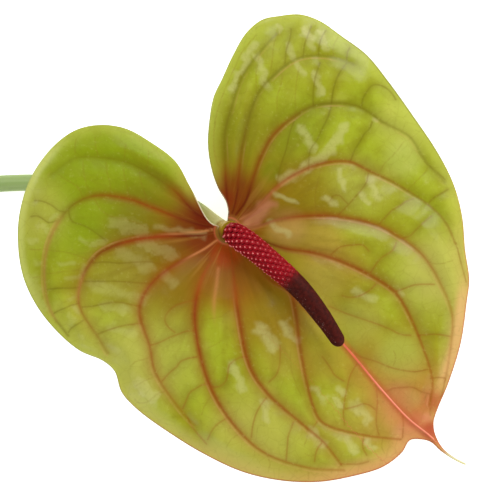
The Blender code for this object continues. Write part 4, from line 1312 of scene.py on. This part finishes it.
# %% Waxy gloss, duller round the seat, on the left lobe and along the far margins
dull = skin.fade(reach, 34, 22)
dull = dull.sum("MAXIMUM", dull, near_spot(-36, 26, 30) * 0.8)
dull = dull.sum("MAXIMUM", dull, near_spot(76, -30, 22) * 0.9)
dull = dull.sum("MAXIMUM", dull, low_side * skin.fade(rim, 13, 8) * 0.9)
skin.wear("Roughness", 0.48)
skin.wear("Specular IOR Level", 0.1)
skin.wear("Coat Weight", 0.42 - 0.4 * dull)
skin.wear("Coat Roughness", 0.24)
skin.wear("Normal", skin.bump(mottle * 2 + fine * 0.4))
skin.put_on(spathe)

# %% [markdown]
# ## The colours of the spadix and the stalk
#
# The open florets are crimson, each with a pale stigma, and the unopened half is dark maroon. The stalk is
# a pale grey green with faint lengthwise streaks, yellower where the flower sits on it.

# %% Crimson, maroon and stigma pink
spike = Finish("spadix_flesh")
closed = spike.measure("unopened")
down = spike.measure("turned_down")
stigma = spike.measure("stigma")
grain = spike.noise(spike.place(), 900, 2.0)
flesh = spike.mix(spike.fade(grain, 0.3, 0.7), (154, 12, 26), (134, 6, 18))
# Painted shade at the foot of each floret, deeper on the side away from the light.
hollow_shade = spike.fade(spike.measure("risen"), 0.6, 0.0)
flesh = spike.mix(hollow_shade * (0.2 + 0.6 * down), flesh, (92, 0, 10))
flesh = spike.mix(stigma * (1 - closed), flesh, (236, 130, 128))
night = spike.mix(spike.fade(grain, 0.3, 0.7), (74, 18, 10), (54, 9, 4))
# Painted glints: pale specks on the dark half, on the side turned away from the key.
painted_glint = spike.fade(spike.noise(spike.place(), 2400, 1.0), 0.58, 0.7)
night = spike.mix(painted_glint * spike.fade(down, 0.45, 0.9) * 0.6, night, (170, 128, 120))
spike.wear("Base Color", spike.mix(closed, flesh, night))
spike.wear("Roughness", 0.42 + 0.2 * closed)
spike.wear("Specular IOR Level", 0.1)
spike.wear("Normal", spike.bump(grain))
spike.put_on(spadix)

# %% Stalk green, yellower where the flower sits on it
stalk = Finish("peduncle_skin")
stalk_place = stalk.place()
lengthwise = stalk.node("ShaderNodeMapping", (), {"Vector": stalk_place, "Scale": (40, 900, 900)})
stalk.tint = stalk.mix(stalk.noise(lengthwise, 1.0), (160, 180, 116), (138, 162, 92))
from_seat = stalk.distance(stalk_place, tuple(np.array(SEAT) * MM)) / MM
# Painted light: the stalk is paler where it runs under the flower, to lift the shade there.
stalk.lay(stalk.fade(from_seat, 24.0, 11.0), (206, 198, 128))
stalk.lay(stalk.fade(from_seat, 7.0, 5.0), (162, 132, 22))
seat_side = stalk.distance(stalk_place, tuple(on_table([(-3.8, -2.2, 1.9)])[0])) / MM
stalk.lay(stalk.fade(seat_side, 4.0, 1.5), (122, 82, 22))
pores = stalk.node("ShaderNodeTexVoronoi", (), {"Vector": stalk_place, "Scale": 900})
pith = stalk.mix(stalk.fade(pores, 0.35, 0.15), (206, 212, 160), (150, 150, 92))
stalk.lay(stalk.measure("cut_face"), pith)
stalk.wear("Base Color", stalk.tint)
stalk.wear("Roughness", 0.42)
stalk.wear("Specular IOR Level", 0.25)
stalk.put_on(peduncle)

# %% [markdown]
# ## The studio
#
# The photograph is a product shot on white: a soft light above the lobes, four more all round so that no
# side is dark, and a table that glows a little, which keeps it white under the flower. The camera looks
# straight into the face of the flower, so it is tilted off the vertical as the flower is.

# %% White table and soft lights
bpy.ops.object.select_all(action="DESELECT")
bpy.ops.mesh.primitive_plane_add(size=6, location=(0, 0, 0))
floor = bpy.context.object
floor.name = "studio_table"
paper = Finish("white_paper")
paper.wear("Base Color", (0.9, 0.9, 0.9, 1))
paper.wear("Roughness", 0.9)
paper.wear("Emission Color", (1, 1, 1, 1))
paper.wear("Emission Strength", 0.72)
paper.put_on(floor)

scene = bpy.context.scene
scene.view_settings.view_transform = "Standard"
scene.world = bpy.data.worlds.new("studio")
scene.world.use_nodes = True
backdrop = scene.world.node_tree.nodes["Background"]
backdrop.inputs["Color"].default_value = (1, 1, 1, 1)
backdrop.inputs["Strength"].default_value = 0.13


def soft_light(name, face_place, size, power):
    """A square softbox aimed at the seat, placed in face directions, in millimetres from the seat."""
    light = bpy.data.lights.new(name, "AREA")
    light.size = size
    light.energy = power
    lamp = bpy.data.objects.new(name, light)
    scene.collection.objects.link(lamp)
    place, target = on_table([face_place, (0, 0, 0)])
    lamp.location = place
    lamp.rotation_euler = (Vector(target) - Vector(place)).to_track_quat("-Z", "Y").to_euler()


KEY_PLACE = (150, 470, 640)
SIDE_BEARINGS, SIDE_REACH, SIDE_HEIGHT = (60, 150, 240, 330), 780, 450
soft_light("key_softbox", KEY_PLACE, size=0.36, power=2.2)
for number, bearing in enumerate(SIDE_BEARINGS):
    across = SIDE_REACH * math.cos(math.radians(bearing))
    up = SIDE_REACH * math.sin(math.radians(bearing))
    soft_light(f"side_softbox_{number}", (across, up, SIDE_HEIGHT), size=0.5, power=3.0)

# %% The camera
CAMERA_PLACE = (7.33, -6.33, 1000)  # over the middle of the flower
camera_data = bpy.data.cameras.new("camera")
camera_data.sensor_width = 36
camera_data.lens = 216  # long and far away, so that the face is drawn with little perspective
camera = bpy.data.objects.new("camera", camera_data)
scene.collection.objects.link(camera)
camera.location = on_table([CAMERA_PLACE])[0]
camera.rotation_euler = FACE_TURN.to_euler()
camera_data.clip_start, camera_data.clip_end = 0.05, 20
scene.camera = camera
print("lights:", 1 + len(SIDE_BEARINGS), "camera (m):", [round(v, 3) for v in camera.location])
